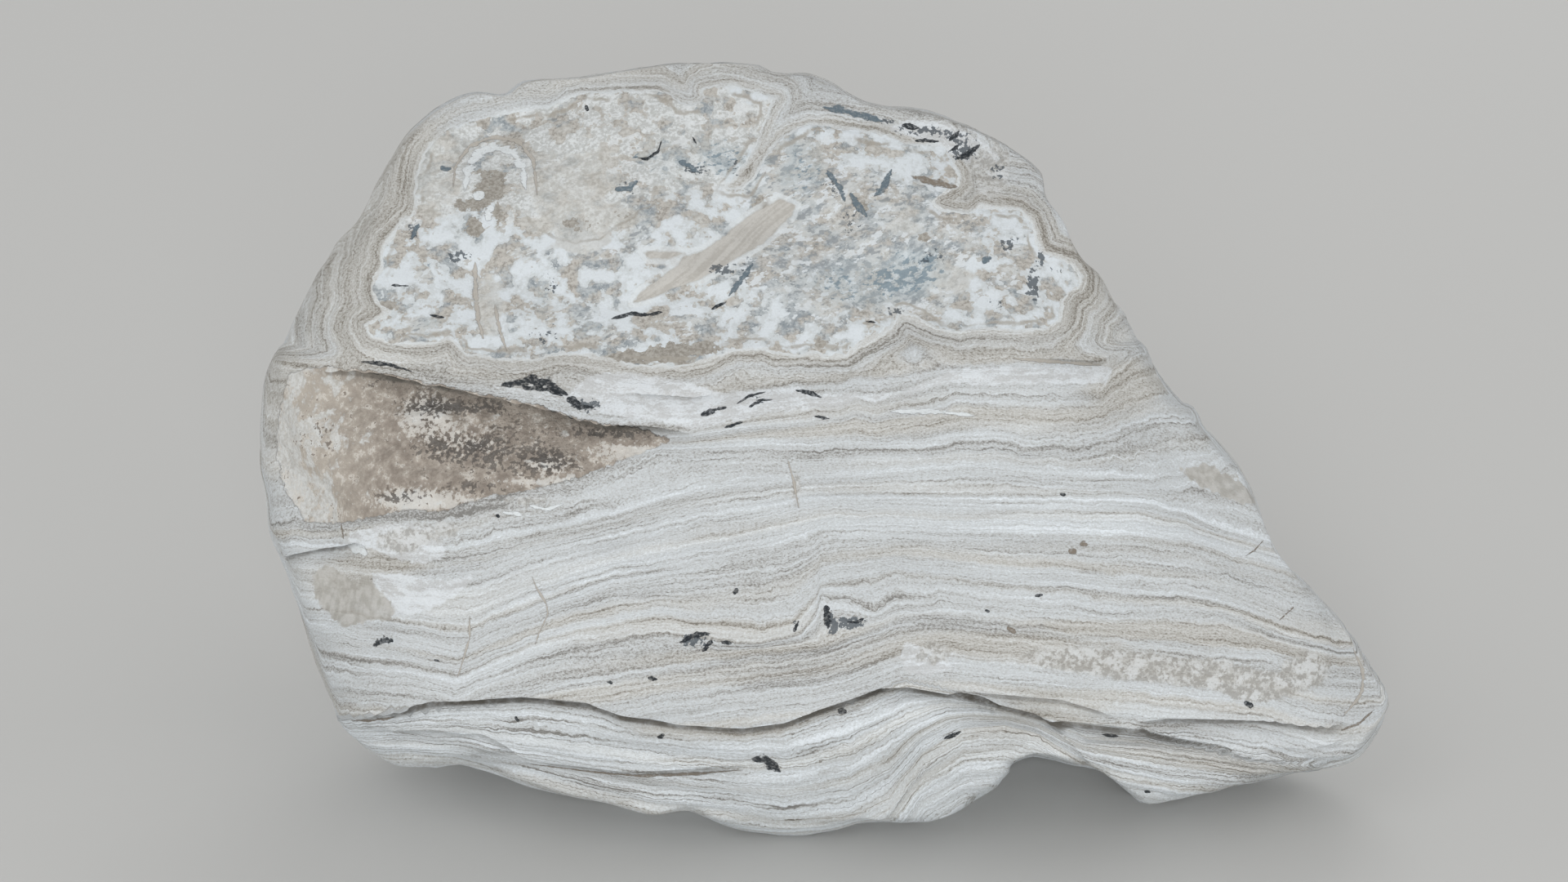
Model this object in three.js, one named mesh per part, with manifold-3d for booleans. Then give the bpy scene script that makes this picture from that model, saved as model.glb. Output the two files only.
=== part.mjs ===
// A weathered lump of laminated diatomite: one solid stone that rests on a small flat base.
//
// Millimetres, +Z up. The stone is shaped in the frame of its broad face: a runs to the right,
// b up the face and w out of it. The face leans back by FACE_LEAN. The finished stone's origin
// is the middle of its bounding box, at ground level, with the broad face towards -Y.
import * as THREE from "three";
import { mergeVertices } from "three/addons/utils/BufferGeometryUtils.js";
import Module from "manifold-3d";

// ---- Driving dimensions -------------------------------------------------------------------

const FACE_LEAN = THREE.MathUtils.degToRad(25); // how far the broad face leans back
const TAPER_DISTANCE = 853.3; // sections shrink towards the face by 1 mm in this many, per mm of w
const FRONT_DOME = 98; // how far the front would bulge from the rim if nothing cut it back
const BACK_DOME = 92; // the same behind the rim
const GROUND = -81; // height of the flat base below the face frame's origin, along +Z
const FACE_CENTRE = [-8.4, 5.3, -GROUND]; // where the face frame's origin stands in the finished part
const CORE = [12, -4]; // the point of the face that the outline is seen from, (a, b)
const SPHERE_DETAIL = 18; // each icosahedron edge is split into SPHERE_DETAIL + 1
const FRONT_PULL = 0.72; // under 1 crowds the facets towards the front
const WEDGE_STEP = 5; // spacing of the sections of a wedge cut out under an edge
const WEDGE_EXIT = 0.6; // how far a wedge's slope ends above the surface that it runs out to
const WEDGE_CLEARANCE = 8; // how far a wedge's outer side stands off the surface
const WEDGE_TUCK = 0.35; // how far the foot of a riser goes in under its edge, per mm of depth

// The outline of the broad face, (a, b), clockwise from the upper left.
const OUTLINE = [
  [-119.6, 29], [-112, 44], [-104, 54.4], [-100, 61.6], [-94.2, 72], [-88, 78.6], // left shoulder
  [-85, 81], [-76, 85.2], [-68, 84.8], [-63.6, 88], [-48, 89.4], [-22, 92.8], [-6, 91.8], // top
  [-3, 90.2], [8, 89.2], [17.2, 84], [24, 81.8], [32, 81.2], [48, 75.8], [60.4, 68.2], // top, right
  [63.2, 65.4], [64.2, 60], [72.4, 45.6], [78, 40.4], [80.2, 35.2], [92, 16.4], // right slope
  [97.2, 9.4], [100, 8], [102.8, 2.8], [112, -8], [118.6, -24], [123, -30.4], // right slope
  [136.4, -44.4], [141.6, -52.4], [148, -64], [145.6, -69.6], [141.6, -75.6], // toe
  [137, -78.8], [119, -82], [104, -85.8], [90, -89], [86, -87.8], [82.8, -84.4], // under the toe
  [78.4, -80.8], [61, -76.8], [55.6, -79.2], [54, -82.4], [48, -87.4], [38, -92.8], // notch
  [20, -93], [12, -94.8], [-12, -94.4], [-23, -90.6], [-33, -91], [-43, -88.6], // bottom
  [-62, -84.4], [-77, -78.8], [-94, -79.2], [-105, -73], [-108.4, -69], // bottom, left
  [-111, -62], [-115.2, -50], [-121, -32.6], [-125.8, -21], [-126.4, -14], // left side
  [-128, -7], [-127.6, 8], [-125.8, 18], // left side
];

// Broad planes that cut the domes back: depth from the face frame at (a, b), its slopes along a
// and b, how much it crowns away from that point, and how softly it meets the planes before it.
const FRONT_PLANES = [
  { a: -15, b: 15, depth: 47, slopeA: 0, slopeB: -0.66, crown: 0.0006, blend: 0 }, // top surface
  { a: -10, b: -20, depth: 52, slopeA: 0, slopeB: -0.11, crown: 0.0011, blend: 6 }, // flank
  { a: 10, b: -66, depth: 58, slopeA: 0, slopeB: 1.15, crown: 0.0008, blend: 8 }, // underside
  { a: -98, b: 0, depth: 44, slopeA: 1, slopeB: 0, crown: 0, blend: 12 }, // left end
  { a: 108, b: -2.6, depth: 12, slopeA: -1.04, slopeB: -0.69, crown: 0, blend: 12 }, // right end
  { a: 70, b: 0, depth: 52, slopeA: -0.45, slopeB: 0, crown: 0, blend: 12 }, // toe
];
const BACK_PLANES = [
  { a: -10, b: 0, depth: 62, slopeA: 0, slopeB: -0.14, crown: 0, blend: 0 },
  { a: 0, b: 58, depth: 44, slopeA: 0, slopeB: -0.9, crown: 0, blend: 8 },
  { a: 30, b: 0, depth: 62, slopeA: -0.62, slopeB: -0.15, crown: 0, blend: 10 },
  { a: -62, b: 0, depth: 60, slopeA: 0.62, slopeB: 0.12, crown: 0, blend: 10 },
];

// Edges that the stone is cut back under. Each point of a path is (a, b, depth, run): the edge,
// how deep the cut goes at its riser, and how far down the face it runs out.
const EDGES = {
  tread: [ // lip of the upper slab on the left, over the broken brown tread
    [-115, 17.3, -0.6, 22], [-106, 17, 4, 30], [-92, 14.8, 7.5, 31], [-82, 12.6, 7.5, 27],
    [-62, 8.8, 7.5, 19], [-52, 5.4, 6.5, 15], [-44, 3.8, 4.5, 12], [-32, 3.4, 2, 8],
    [-22, 1.6, -0.6, 5],
  ],
  mainCrease: [ // long undercut between the flank and the underside
    [-104, -68, -0.6, 3], [-96, -67.2, 2.4, 5], [-88, -64.8, 3.4, 8], [-72, -63.4, 3.6, 10],
    [-64, -63, 3.6, 12], [-48, -64.4, 3.6, 13], [-40, -67.4, 3.6, 13], [-26, -69.6, 3.6, 13],
    [-10, -70.6, 3.6, 13], [0, -69.2, 3.6, 13], [8, -66.2, 3.6, 13], [16, -63.6, 3.6, 13],
    [24, -60.6, 3.6, 12], [30, -60.2, 3.4, 11], [48, -63.4, 3.2, 9], [68, -68.8, 3, 7],
    [88, -71.2, 2.6, 7], [102, -74.4, 2, 5], [114, -78, -0.6, 4],
  ],
  upperBranch: [
    [40, -61, -0.6, 4], [50, -61.8, 1.5, 4], [68, -63.4, 1.6, 5], [76, -65.6, 1.6, 5],
    [82, -68, -0.6, 5],
  ],
  toeCrease: [
    [86, -69.4, -0.6, 6], [94, -68, 2.2, 6], [116, -68.2, 2.2, 7], [124, -69.2, 2.2, 7],
    [133, -70.4, 1.8, 6], [139, -69, -0.6, 5],
  ],
  lowerCrease: [
    [-76, -76.2, -0.6, 3], [-66, -76.4, 1.4, 3], [-58, -79, 1.8, 4], [-40, -80.5, 2, 5],
    [-20, -80.4, 1.8, 6], [-8, -80.2, -0.6, 6],
  ],
  leftNotch: [
    [-124, -30.4, -0.6, 5], [-121, -28, 1.6, 6], [-116, -26.8, 2, 7], [-110, -26.2, 1.8, 7],
    [-104, -24.6, -0.6, 6],
  ],
};

// Broad swells and scoops of the front: centre (a, b), radii along a and b, height along w.
const SWELLS = [
  { a: 61, b: -73, radiusA: 16, radiusB: 10, height: -9 }, // the notch under the right half
  { a: 10, b: -82, radiusA: 26, radiusB: 14, height: 5 }, // lobe left of the notch
  { a: 92, b: -84, radiusA: 14, radiusB: 9, height: 3 }, // lobe right of the notch
  { a: -112, b: -36, radiusA: 9, radiusB: 8, height: -2.5 }, // flake scar on the lower left
  { a: 50, b: 70, radiusA: 15, radiusB: 7, height: -3 }, // pocket at the upper right edge
];

// Broken bedding ledges across the back: height b at a = 0, rise along a, depth and reach.
const BACK_LEDGES = [
  { b: 52, rise: -0.1, depth: 4, reach: 12, seed: 1.5 },
  { b: 18, rise: -0.16, depth: 5.5, reach: 16, seed: 3 },
  { b: -14, rise: -0.13, depth: 3, reach: 9, seed: 5 },
  { b: -40, rise: -0.05, depth: 5, reach: 14, seed: 7 },
];

// ---- Small helpers ------------------------------------------------------------------------

const { clamp, lerp, smoothstep } = THREE.MathUtils;

// The smaller of two depths, rounded where they meet over a band k wide.
function softMin(p, q, k) {
  if (k === 0) return Math.min(p, q);
  const h = clamp(0.5 + (0.5 * (q - p)) / k, 0, 1);
  return lerp(q, p, h) - k * h * (1 - h);
}

// The row of a table at a given a, where the first column is a.
function rowAt(table, a) {
  const last = table.length - 1;
  const above = table.findIndex((row) => row[0] >= a);
  const next = above === -1 ? last : Math.max(above, 1);
  const [low, high] = [table[next - 1], table[next]];
  const t = (a - low[0]) / (high[0] - low[0]);
  return low.map((value, column) => lerp(value, high[column], t));
}

// Repeatable lattice noise between -1 and 1.
function latticeValue(i, j, k) {
  const s = Math.sin(i * 12.9898 + j * 78.233 + k * 37.719) * 43758.5453;
  return s - Math.floor(s);
}

function noise(x, y, z) {
  const [i, j, k] = [Math.floor(x), Math.floor(y), Math.floor(z)];
  const [u, v, t] = [smoothstep(x - i, 0, 1), smoothstep(y - j, 0, 1), smoothstep(z - k, 0, 1)];
  const layer = (m) => lerp(
    lerp(latticeValue(i, j, m), latticeValue(i + 1, j, m), u),
    lerp(latticeValue(i, j + 1, m), latticeValue(i + 1, j + 1, m), u),
    v,
  );
  return 2 * lerp(layer(k), layer(k + 1), t) - 1;
}

// ---- The outline as a polar curve around CORE ---------------------------------------------

const outlinePolar = OUTLINE
  .map(([a, b]) => [a - CORE[0], b - CORE[1]])
  .map(([a, b]) => [Math.atan2(b, a), Math.hypot(a, b)])
  .sort((p, q) => p[0] - q[0]);
const turn = 2 * Math.PI;
const outlineLoop = [
  ...outlinePolar.slice(-3).map(([angle, r]) => [angle - turn, r]),
  ...outlinePolar,
  ...outlinePolar.slice(0, 3).map(([angle, r]) => [angle + turn, r]),
];

// Radius of the outline at an angle: a cubic through its points that doesn't overshoot.
function reach(angle) {
  const next = clamp(outlineLoop.findIndex((p) => p[0] >= angle), 2, outlineLoop.length - 2);
  const [p0, p1, p2, p3] = outlineLoop.slice(next - 2, next + 2);
  const step = p2[0] - p1[0];
  const t = (angle - p1[0]) / step;
  const limit = 2.5 * Math.abs(p2[1] - p1[1]) + 0.3;
  const m1 = clamp(((p2[1] - p0[1]) / (p2[0] - p0[0])) * step, -limit, limit);
  const m2 = clamp(((p3[1] - p1[1]) / (p3[0] - p1[0])) * step, -limit, limit);
  const rise = t * t * (3 - 2 * t);
  return lerp(p1[1], p2[1], rise) + t * (1 - t) * ((1 - t) * m1 - t * m2);
}

// The same curve with its small corners averaged out, for points well inside the outline.
const SMOOTH_STEP = THREE.MathUtils.degToRad(0.5);
const SMOOTH_WIDTH = THREE.MathUtils.degToRad(11);
const smoothWeights = Array.from({ length: 121 }, (_, i) => {
  const offset = (i - 60) * SMOOTH_STEP;
  return [offset, Math.exp(-((offset / SMOOTH_WIDTH) ** 2))];
});

function smoothReach(angle) {
  let sum = 0;
  let weights = 0;
  for (const [offset, weight] of smoothWeights) {
    const wrapped = THREE.MathUtils.euclideanModulo(angle + offset + Math.PI, turn) - Math.PI;
    sum += reach(wrapped) * weight;
    weights += weight;
  }
  return sum / weights;
}

// ---- Relief -------------------------------------------------------------------------------

// Bedding coordinate: the beds dip towards the face, nearly parallel to its top surface.
const bedding = (b, w) => 0.55 * b + 0.83 * w;

function lumps(a, b, w) {
  return 2.6 * noise(a / 33 + 3.1, b / 24 + 1.7, w / 30 + 5.2)
    + 1.0 * noise(a / 21 + 0.4, b / 10 + 2.9, w / 14 + 8.8)
    + 0.4 * noise(a / 9 + 7.7, b / 5.5 + 0.3, w / 7 + 1.1);
}

// Flat-topped ribs that follow the bedding, where harder beds stand out on the ends and back.
function ribs(a, b, w) {
  const bed = noise(bedding(b, w) / 7.5, a / 70 + 2.2, w / 90 + 4.1);
  return 1.4 * (2 * smoothstep(bed, -0.5, 0.5) - 1);
}

// Depth of a family of planes, blended from the first to the last.
function planeDepth(planes, a, b) {
  const depths = planes.map((plane) => {
    const fromA = a - plane.a;
    const fromB = b - plane.b;
    return plane.depth + plane.slopeA * fromA + plane.slopeB * fromB - plane.crown * fromA ** 2;
  });
  return depths.reduce((sofar, depth, i) => softMin(sofar, depth, planes[i].blend));
}

function swellRelief({ a: atA, b: atB, radiusA, radiusB, height }, a, b) {
  return height * Math.exp(-(((a - atA) / radiusA) ** 2) - ((b - atB) / radiusB) ** 2);
}

function ledgeHeight({ b: level, rise, seed }, a) {
  const wander = 3.5 * noise(a / 26 + seed, seed, 0) + 1.4 * noise(a / 9 + seed, 2.2, 0);
  return level + rise * a + wander;
}

// A step whose lower side is cut back and runs out downwards, with a slight swell above it.
function ledgeRelief(ledge, a, b) {
  const strength = 0.55 + 0.45 * noise(a / 45 + 2 * ledge.seed, 0.5, 0);
  const height = b - ledgeHeight(ledge, a);
  const recess = Math.exp(Math.min(height, 0) / ledge.reach);
  const swell = 0.15 * Math.exp(-Math.max(height, 0) / 5);
  return ledge.depth * strength * lerp(swell, -recess, smoothstep(-height, 0, 2));
}

function frontDepth(a, b) {
  const plane = planeDepth(FRONT_PLANES, a, b);
  return SWELLS.reduce((w, swell) => w + swellRelief(swell, a, b), plane + lumps(a, b, plane));
}

function backDepth(a, b) {
  const plane = planeDepth(BACK_PLANES, a, b);
  let depth = plane + 1.15 * lumps(a + 71, b + 37, plane) + ribs(a, b, -plane);
  for (const ledge of BACK_LEDGES) depth += ledgeRelief(ledge, a, b);
  return depth;
}

// ---- From a direction on the unit sphere to a point of the stone --------------------------

const rimDepth = (b) => -6 + 0.22 * Math.max(-b, 0);
const blendWidth = (facing) => 10 * smoothstep(Math.abs(facing), 0, 0.35) + 0.01;

function frontSurface(a, b, facing) {
  return softMin(rimDepth(b) + FRONT_DOME * facing, frontDepth(a, b), blendWidth(facing));
}

function backSurface(a, b, facing) {
  return -softMin(-rimDepth(b) - BACK_DOME * facing, backDepth(a, b), blendWidth(facing));
}

// Radius from CORE at a share of the way to the rim: the outline's corners fade out inwards.
function radiusAt(angle, spread) {
  return lerp(smoothReach(angle), reach(angle), spread ** 9);
}

function stonePoint(direction) {
  const angle = Math.atan2(direction.y, direction.x);
  const spread = Math.min(Math.hypot(direction.x, direction.y), 1); // 0 at CORE, 1 on the rim
  const facing = direction.z; // 1 at the front, 0 on the rim, -1 at the back
  const radius = spread * radiusAt(angle, spread);
  const a = CORE[0] + radius * Math.cos(angle);
  const b = CORE[1] + radius * Math.sin(angle);
  const w = facing > 0 ? frontSurface(a, b, facing) : backSurface(a, b, facing);
  const wall = smoothstep(Math.abs(facing), 0.06, 0.3)
    * (1 - smoothstep(Math.abs(facing), 0.35, 0.6));
  const bulge = wall * (lumps(a + 200, b, w) + ribs(a, b, w));
  return new THREE.Vector3(a + bulge * Math.cos(angle), b + bulge * Math.sin(angle), w);
}

// Depth of the front at (a, b), for what is cut into it.
function frontAt(a, b) {
  const angle = Math.atan2(b - CORE[1], a - CORE[0]);
  const distance = Math.hypot(a - CORE[0], b - CORE[1]);
  let spread = 0.9;
  for (let i = 0; i < 12; i++) spread = Math.min(distance / radiusAt(angle, spread), 1);
  return frontSurface(a, b, Math.sqrt(1 - spread * spread));
}

// Leans the face frame back and stands it on the ground.
function standUp({ x: a, y: b, z: w }) {
  const narrowing = 1 - w / TAPER_DISTANCE;
  const point = new THREE.Vector3(a * narrowing, -w, b * narrowing);
  return point.applyAxisAngle(new THREE.Vector3(1, 0, 0), -FACE_LEAN);
}

// ---- Mesh ---------------------------------------------------------------------------------

// Crowds a unit direction towards +z without shearing the facets.
function crowdForward(direction) {
  const flat = Math.hypot(direction.x, direction.y);
  const rho = Math.tan(Math.acos(clamp(direction.z, -1, 1)) / 2) * FRONT_PULL;
  const z = (1 - rho * rho) / (1 + rho * rho);
  const scale = Math.sqrt(1 - z * z) / Math.max(flat, 1e-9);
  return new THREE.Vector3(direction.x * scale, direction.y * scale, z);
}

function boulder() {
  const raw = new THREE.IcosahedronGeometry(1, SPHERE_DETAIL);
  raw.deleteAttribute("normal");
  raw.deleteAttribute("uv");
  const geometry = mergeVertices(raw);
  const position = geometry.getAttribute("position");
  const direction = new THREE.Vector3();
  for (let i = 0; i < position.count; i++) {
    direction.fromBufferAttribute(position, i).normalize();
    const point = standUp(stonePoint(crowdForward(direction)));
    position.setXYZ(i, point.x, point.y, point.z);
  }
  return geometry;
}

// One section of the wedge under an edge: above the edge, the foot of its riser, and the slope
// that runs out to the surface below.
function wedgeSection([a, b, depth, run]) {
  const slope = [1 / 3, 2 / 3, 1].map((t) => {
    const down = b - run * t;
    return [down, frontAt(a, down) - depth * (1 - t) ** 1.5 + WEDGE_EXIT * t];
  });
  const edge = frontAt(a, b);
  const foot = [b + WEDGE_TUCK * Math.max(depth, 0), edge - depth];
  const outer = frontAt(a, b - run) + WEDGE_CLEARANCE;
  return [[b, edge + WEDGE_CLEARANCE], foot, ...slope, [b - run, outer]]
    .map(([height, w]) => standUp(new THREE.Vector3(a, height, w)));
}

// A closed skin over a row of sections that all have the same number of points.
function loft(sections) {
  const sides = sections[0].length;
  const index = [];
  for (let i = 1; i < sections.length; i++) {
    for (let j = 0; j < sides; j++) {
      const [p, q] = [(i - 1) * sides + j, (i - 1) * sides + ((j + 1) % sides)];
      index.push(p, p + sides, q, q, p + sides, q + sides);
    }
  }
  const lastRing = (sections.length - 1) * sides;
  for (let j = 2; j < sides; j++) {
    index.push(0, j - 1, j, lastRing, lastRing + j, lastRing + j - 1);
  }
  const geometry = new THREE.BufferGeometry().setFromPoints(sections.flat());
  return geometry.setIndex(index);
}

function wedge(path) {
  const start = path[0][0];
  const length = path[path.length - 1][0] - start;
  const count = Math.ceil(length / WEDGE_STEP);
  const stations = Array.from({ length: count + 1 }, (_, i) => start + (length * i) / count);
  return loft(stations.map((a) => wedgeSection(rowAt(path, a))));
}

function blockBelowGround() {
  const size = 600;
  const block = new THREE.BoxGeometry(size, size, size).translate(0, 0, GROUND - size / 2);
  block.deleteAttribute("normal");
  block.deleteAttribute("uv");
  return mergeVertices(block);
}

function toSolid(wasm, geometry) {
  return new wasm.Manifold(new wasm.Mesh({
    numProp: 3,
    vertProperties: new Float32Array(geometry.getAttribute("position").array),
    triVerts: new Uint32Array(geometry.getIndex().array),
  }));
}

function toGeometry(solid) {
  const { vertProperties, triVerts } = solid.getMesh();
  const geometry = new THREE.BufferGeometry();
  geometry.setAttribute("position", new THREE.BufferAttribute(vertProperties, 3));
  geometry.setIndex(new THREE.BufferAttribute(triVerts, 1));
  geometry.computeVertexNormals();
  return geometry;
}

const wasm = await Module();
wasm.setup();

const cuts = [blockBelowGround(), ...Object.values(EDGES).map(wedge)];
const stoneSolid = cuts.reduce(
  (solid, cut) => solid.subtract(toSolid(wasm, cut)),
  toSolid(wasm, boulder()),
);
const stone = new THREE.Mesh(
  toGeometry(stoneSolid),
  new THREE.MeshStandardMaterial({ color: 0xc6c9c8, roughness: 0.93, metalness: 0 }),
);
stone.name = "stone";
stone.position.set(...FACE_CENTRE);

const part = new THREE.Group();
part.add(stone);

export default part;
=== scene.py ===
import math

import bpy
import numpy as np
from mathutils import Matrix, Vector


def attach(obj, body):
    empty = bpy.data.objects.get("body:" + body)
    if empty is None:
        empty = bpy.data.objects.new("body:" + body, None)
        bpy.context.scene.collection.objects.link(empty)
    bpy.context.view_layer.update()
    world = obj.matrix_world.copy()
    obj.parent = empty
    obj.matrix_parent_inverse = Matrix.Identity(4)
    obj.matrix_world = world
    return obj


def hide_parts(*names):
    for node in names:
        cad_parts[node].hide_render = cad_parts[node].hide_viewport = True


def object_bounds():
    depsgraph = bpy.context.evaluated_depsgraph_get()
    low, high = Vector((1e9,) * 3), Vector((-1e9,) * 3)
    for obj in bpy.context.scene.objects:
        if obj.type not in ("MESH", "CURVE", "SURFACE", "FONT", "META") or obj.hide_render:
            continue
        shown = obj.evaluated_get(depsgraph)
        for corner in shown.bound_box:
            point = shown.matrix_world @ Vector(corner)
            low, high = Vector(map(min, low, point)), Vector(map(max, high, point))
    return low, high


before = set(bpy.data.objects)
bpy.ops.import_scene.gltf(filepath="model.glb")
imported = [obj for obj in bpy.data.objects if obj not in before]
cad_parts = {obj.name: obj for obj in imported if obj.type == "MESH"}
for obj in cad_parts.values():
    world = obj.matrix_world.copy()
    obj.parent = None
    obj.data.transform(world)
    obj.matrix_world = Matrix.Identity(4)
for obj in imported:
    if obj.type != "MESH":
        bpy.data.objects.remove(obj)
CAD_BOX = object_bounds()

# A weathered lump of laminated diatomite. One dressed mesh stands for the CAD solid "stone".
#
# Like the solid, the mesh is shaped in millimetres in the frame of the stone's broad face: a runs
# to the right, b up the face and w out of it. The face leans back by FACE_LEAN. Every mark on the
# face is placed by its (a, b).

MM = 0.001

# ---- Form: the same dimensions as the CAD solid ------------------------------------------------

FACE_LEAN = math.radians(25)
TAPER_DISTANCE = 853.3  # how far in front of the face the point lies that sections narrow towards
FRONT_DOME = 98  # how far the front would bulge from the rim if nothing cut it back
BACK_DOME = 92  # the same behind the rim
RIM_LEVEL = -6  # w of the rim at b = 0 and above
RIM_RISE = 0.22  # how far the rim comes forward for each mm below that
DOME_BLEND = 10  # mm over which the domes and the planes round into each other
DOME_BLEND_FACING = 0.35  # how far a point faces front or back where that width is reached
FACE_CENTRE = np.array([-8.4, 5.3, 81])  # where the face frame's origin stands
CORE = (12, -4)  # the point of the face that the outline is seen from

OUTLINE = [
    # Left shoulder
    (-119.6, 29), (-112, 44), (-104, 54.4), (-100, 61.6), (-94.2, 72), (-88, 78.6),
    # Top
    (-85, 81), (-76, 85.2), (-68, 84.8), (-63.6, 88), (-48, 89.4), (-22, 92.8), (-6, 91.8),
    (-3, 90.2), (8, 89.2), (17.2, 84), (24, 81.8), (32, 81.2), (48, 75.8), (60.4, 68.2),
    # Right slope
    (63.2, 65.4), (64.2, 60), (72.4, 45.6), (78, 40.4), (80.2, 35.2), (92, 16.4),
    (97.2, 9.4), (100, 8), (102.8, 2.8), (112, -8), (118.6, -24), (123, -30.4),
    # Toe
    (136.4, -44.4), (141.6, -52.4), (148, -64), (145.6, -69.6), (141.6, -75.6),
    (137, -78.8), (119, -82), (104, -85.8), (90, -89), (86, -87.8), (82.8, -84.4),
    # Notch
    (78.4, -80.8), (61, -76.8), (55.6, -79.2), (54, -82.4), (48, -87.4), (38, -92.8),
    # Bottom
    (20, -93), (12, -94.8), (-12, -94.4), (-23, -90.6), (-33, -91), (-43, -88.6),
    (-62, -84.4), (-77, -78.8), (-94, -79.2), (-105, -73), (-108.4, -69),
    # Left side
    (-111, -62), (-115.2, -50), (-121, -32.6), (-125.8, -21), (-126.4, -14),
    (-128, -7), (-127.6, 8), (-125.8, 18),
]

# Broad planes: (a, b), depth there, slope along a, slope along b, crown, blend.
FRONT_PLANES = [
    (-15, 15, 47, 0, -0.66, 0.0006, 0),  # top surface
    (-10, -20, 52, 0, -0.11, 0.0011, 6),  # flank
    (10, -66, 58, 0, 1.15, 0.0008, 8),  # underside
    (-98, 0, 44, 1, 0, 0, 12),  # left end
    (108, -2.6, 12, -1.04, -0.69, 0, 12),  # right end
    (70, 0, 52, -0.45, 0, 0, 12),  # toe
]
BACK_PLANES = [
    (-10, 0, 62, 0, -0.14, 0, 0),
    (0, 58, 44, 0, -0.9, 0, 8),
    (30, 0, 62, -0.62, -0.15, 0, 10),
    (-62, 0, 60, 0.62, 0.12, 0, 10),
]

# Edges that the stone is cut back under: points (a, b, depth of the riser, run of the slope).
EDGES = {
    "tread": [
        (-115, 17.3, 0, 22), (-106, 17, 4, 30), (-92, 14.8, 7.5, 31), (-82, 12.6, 7.5, 27),
        (-62, 8.8, 7.5, 19), (-52, 5.4, 6.5, 15), (-44, 3.8, 4.5, 12), (-32, 3.4, 2, 8),
        (-22, 1.6, 0, 5),
    ],
    "main_crease": [
        (-104, -68, 0, 3), (-96, -67.2, 2.4, 5), (-88, -64.8, 3.4, 8), (-72, -63.4, 3.6, 10),
        (-64, -63, 3.6, 12), (-48, -64.4, 3.6, 13), (-40, -67.4, 3.6, 13), (-26, -69.6, 3.6, 13),
        (-10, -70.6, 3.6, 13), (0, -69.2, 3.6, 13), (8, -66.2, 3.6, 13), (16, -63.6, 3.6, 13),
        (24, -60.6, 3.6, 12), (30, -60.2, 3.4, 11), (48, -63.4, 3.2, 9), (68, -68.8, 3, 7),
        (88, -71.2, 2.6, 7), (102, -74.4, 2, 5), (114, -78, 0, 4),
    ],
    "upper_branch": [
        (40, -61, 0, 4), (50, -61.8, 1.5, 4), (68, -63.4, 1.6, 5), (76, -65.6, 1.6, 5),
        (82, -68, 0, 5),
    ],
    "toe_crease": [
        (86, -69.4, 0, 6), (94, -68, 2.2, 6), (116, -68.2, 2.2, 7), (124, -69.2, 2.2, 7),
        (133, -70.4, 1.8, 6), (139, -69, 0, 5),
    ],
    "lower_crease": [
        (-76, -76.2, 0, 3), (-66, -76.4, 1.4, 3), (-58, -79, 1.8, 4), (-40, -80.5, 2, 5),
        (-20, -80.4, 1.8, 6), (-8, -80.2, 0, 6),
    ],
    "left_notch": [
        (-124, -30.4, 0, 5), (-121, -28, 1.6, 6), (-116, -26.8, 2, 7), (-110, -26.2, 1.8, 7),
        (-104, -24.6, 0, 6),
    ],
}
# Smaller edges, which only this mesh has.
FINE_EDGES = {
    "under_fold": [
        (-99, -73, 0, 3), (-93, -72, 0.9, 3), (-85.4, -71.8, 1, 3), (-79, -72.8, 0.9, 2.6),
        (-75.2, -72, 1, 3), (-69.6, -74.2, 1, 3), (-61.6, -77.6, 0.7, 2.4), (-57.6, -78.6, 0, 2),
    ],
    "notch_ridge": [
        (60.6, -67.4, 0, 3), (63.8, -68.6, 0.3, 3), (67.8, -71.6, 0.5, 4), (71.4, -75.2, 0.5, 4),
        (75.4, -79.4, 0.3, 3), (80.2, -81, 0, 2),
    ],
    "above_tread": [
        (-44, 12, 0, 3), (-34, 11.4, 0.5, 3), (-22, 10.6, 0.5, 3), (-10, 12.4, 0, 3),
    ],
    "right_bed": [
        (60, 20.4, 0, 3), (68, 20, 0.5, 4), (77, 19.4, 0.6, 4), (82, 21.4, 0, 3),
    ],
    "toe_laminae": [
        (118, -75.6, 0, 2), (126, -75.4, 0.6, 2.4), (134, -74, 0.6, 2.4), (141, -71.4, 0, 2),
    ],
}
ALL_EDGES = {**EDGES, **FINE_EDGES}
EDGE_TUCK = 0.35  # how far a riser's foot goes in under its edge, per mm of depth
EDGE_CROWDING = 2.6  # points this near an edge crowd towards it, which keeps the riser thin
CROWDING_POWER = 1.6  # how steeply they crowd

# Edges by layer of painted crease shade and dirt. No two edges of a layer come close together.
CREASE_LAYERS = [
    ("tread", "main_crease", "toe_laminae"),
    ("upper_branch", "toe_crease", "lower_crease", "left_notch"),
    ("under_fold", "notch_ridge", "above_tread", "right_bed"),
]
CREASE_REACH = 5  # mm from an edge within which its painted shade and dirt can lie
NO_EDGE_NEAR = 99.0  # mm: the height where a layer has no edge
DARKEST_CREASE_DEPTH = 3  # mm: an edge cut this deep gets the darkest painted shade and dirt that an edge can

# Swells and scoops of the front: centre (a, b), radii along a and b, height.
SWELLS = [
    (61, -73, 16, 10, -9),  # notch under the right half
    (10, -82, 26, 14, 5),  # lobe left of the notch
    (92, -84, 14, 9, 3),  # lobe right of the notch
    (-112, -36, 9, 8, -2.5),  # flake scar on the lower left
    (50, 70, 15, 7, -3),  # pocket at the upper right edge
]

# Broken bedding ledges across the back: height b at a = 0, rise along a, depth, reach, seed.
BACK_LEDGES = [
    (52, -0.1, 4, 12, 1.5),
    (18, -0.16, 5.5, 16, 3),
    (-14, -0.13, 3, 9, 5),
    (-40, -0.05, 5, 14, 7),
]

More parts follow.
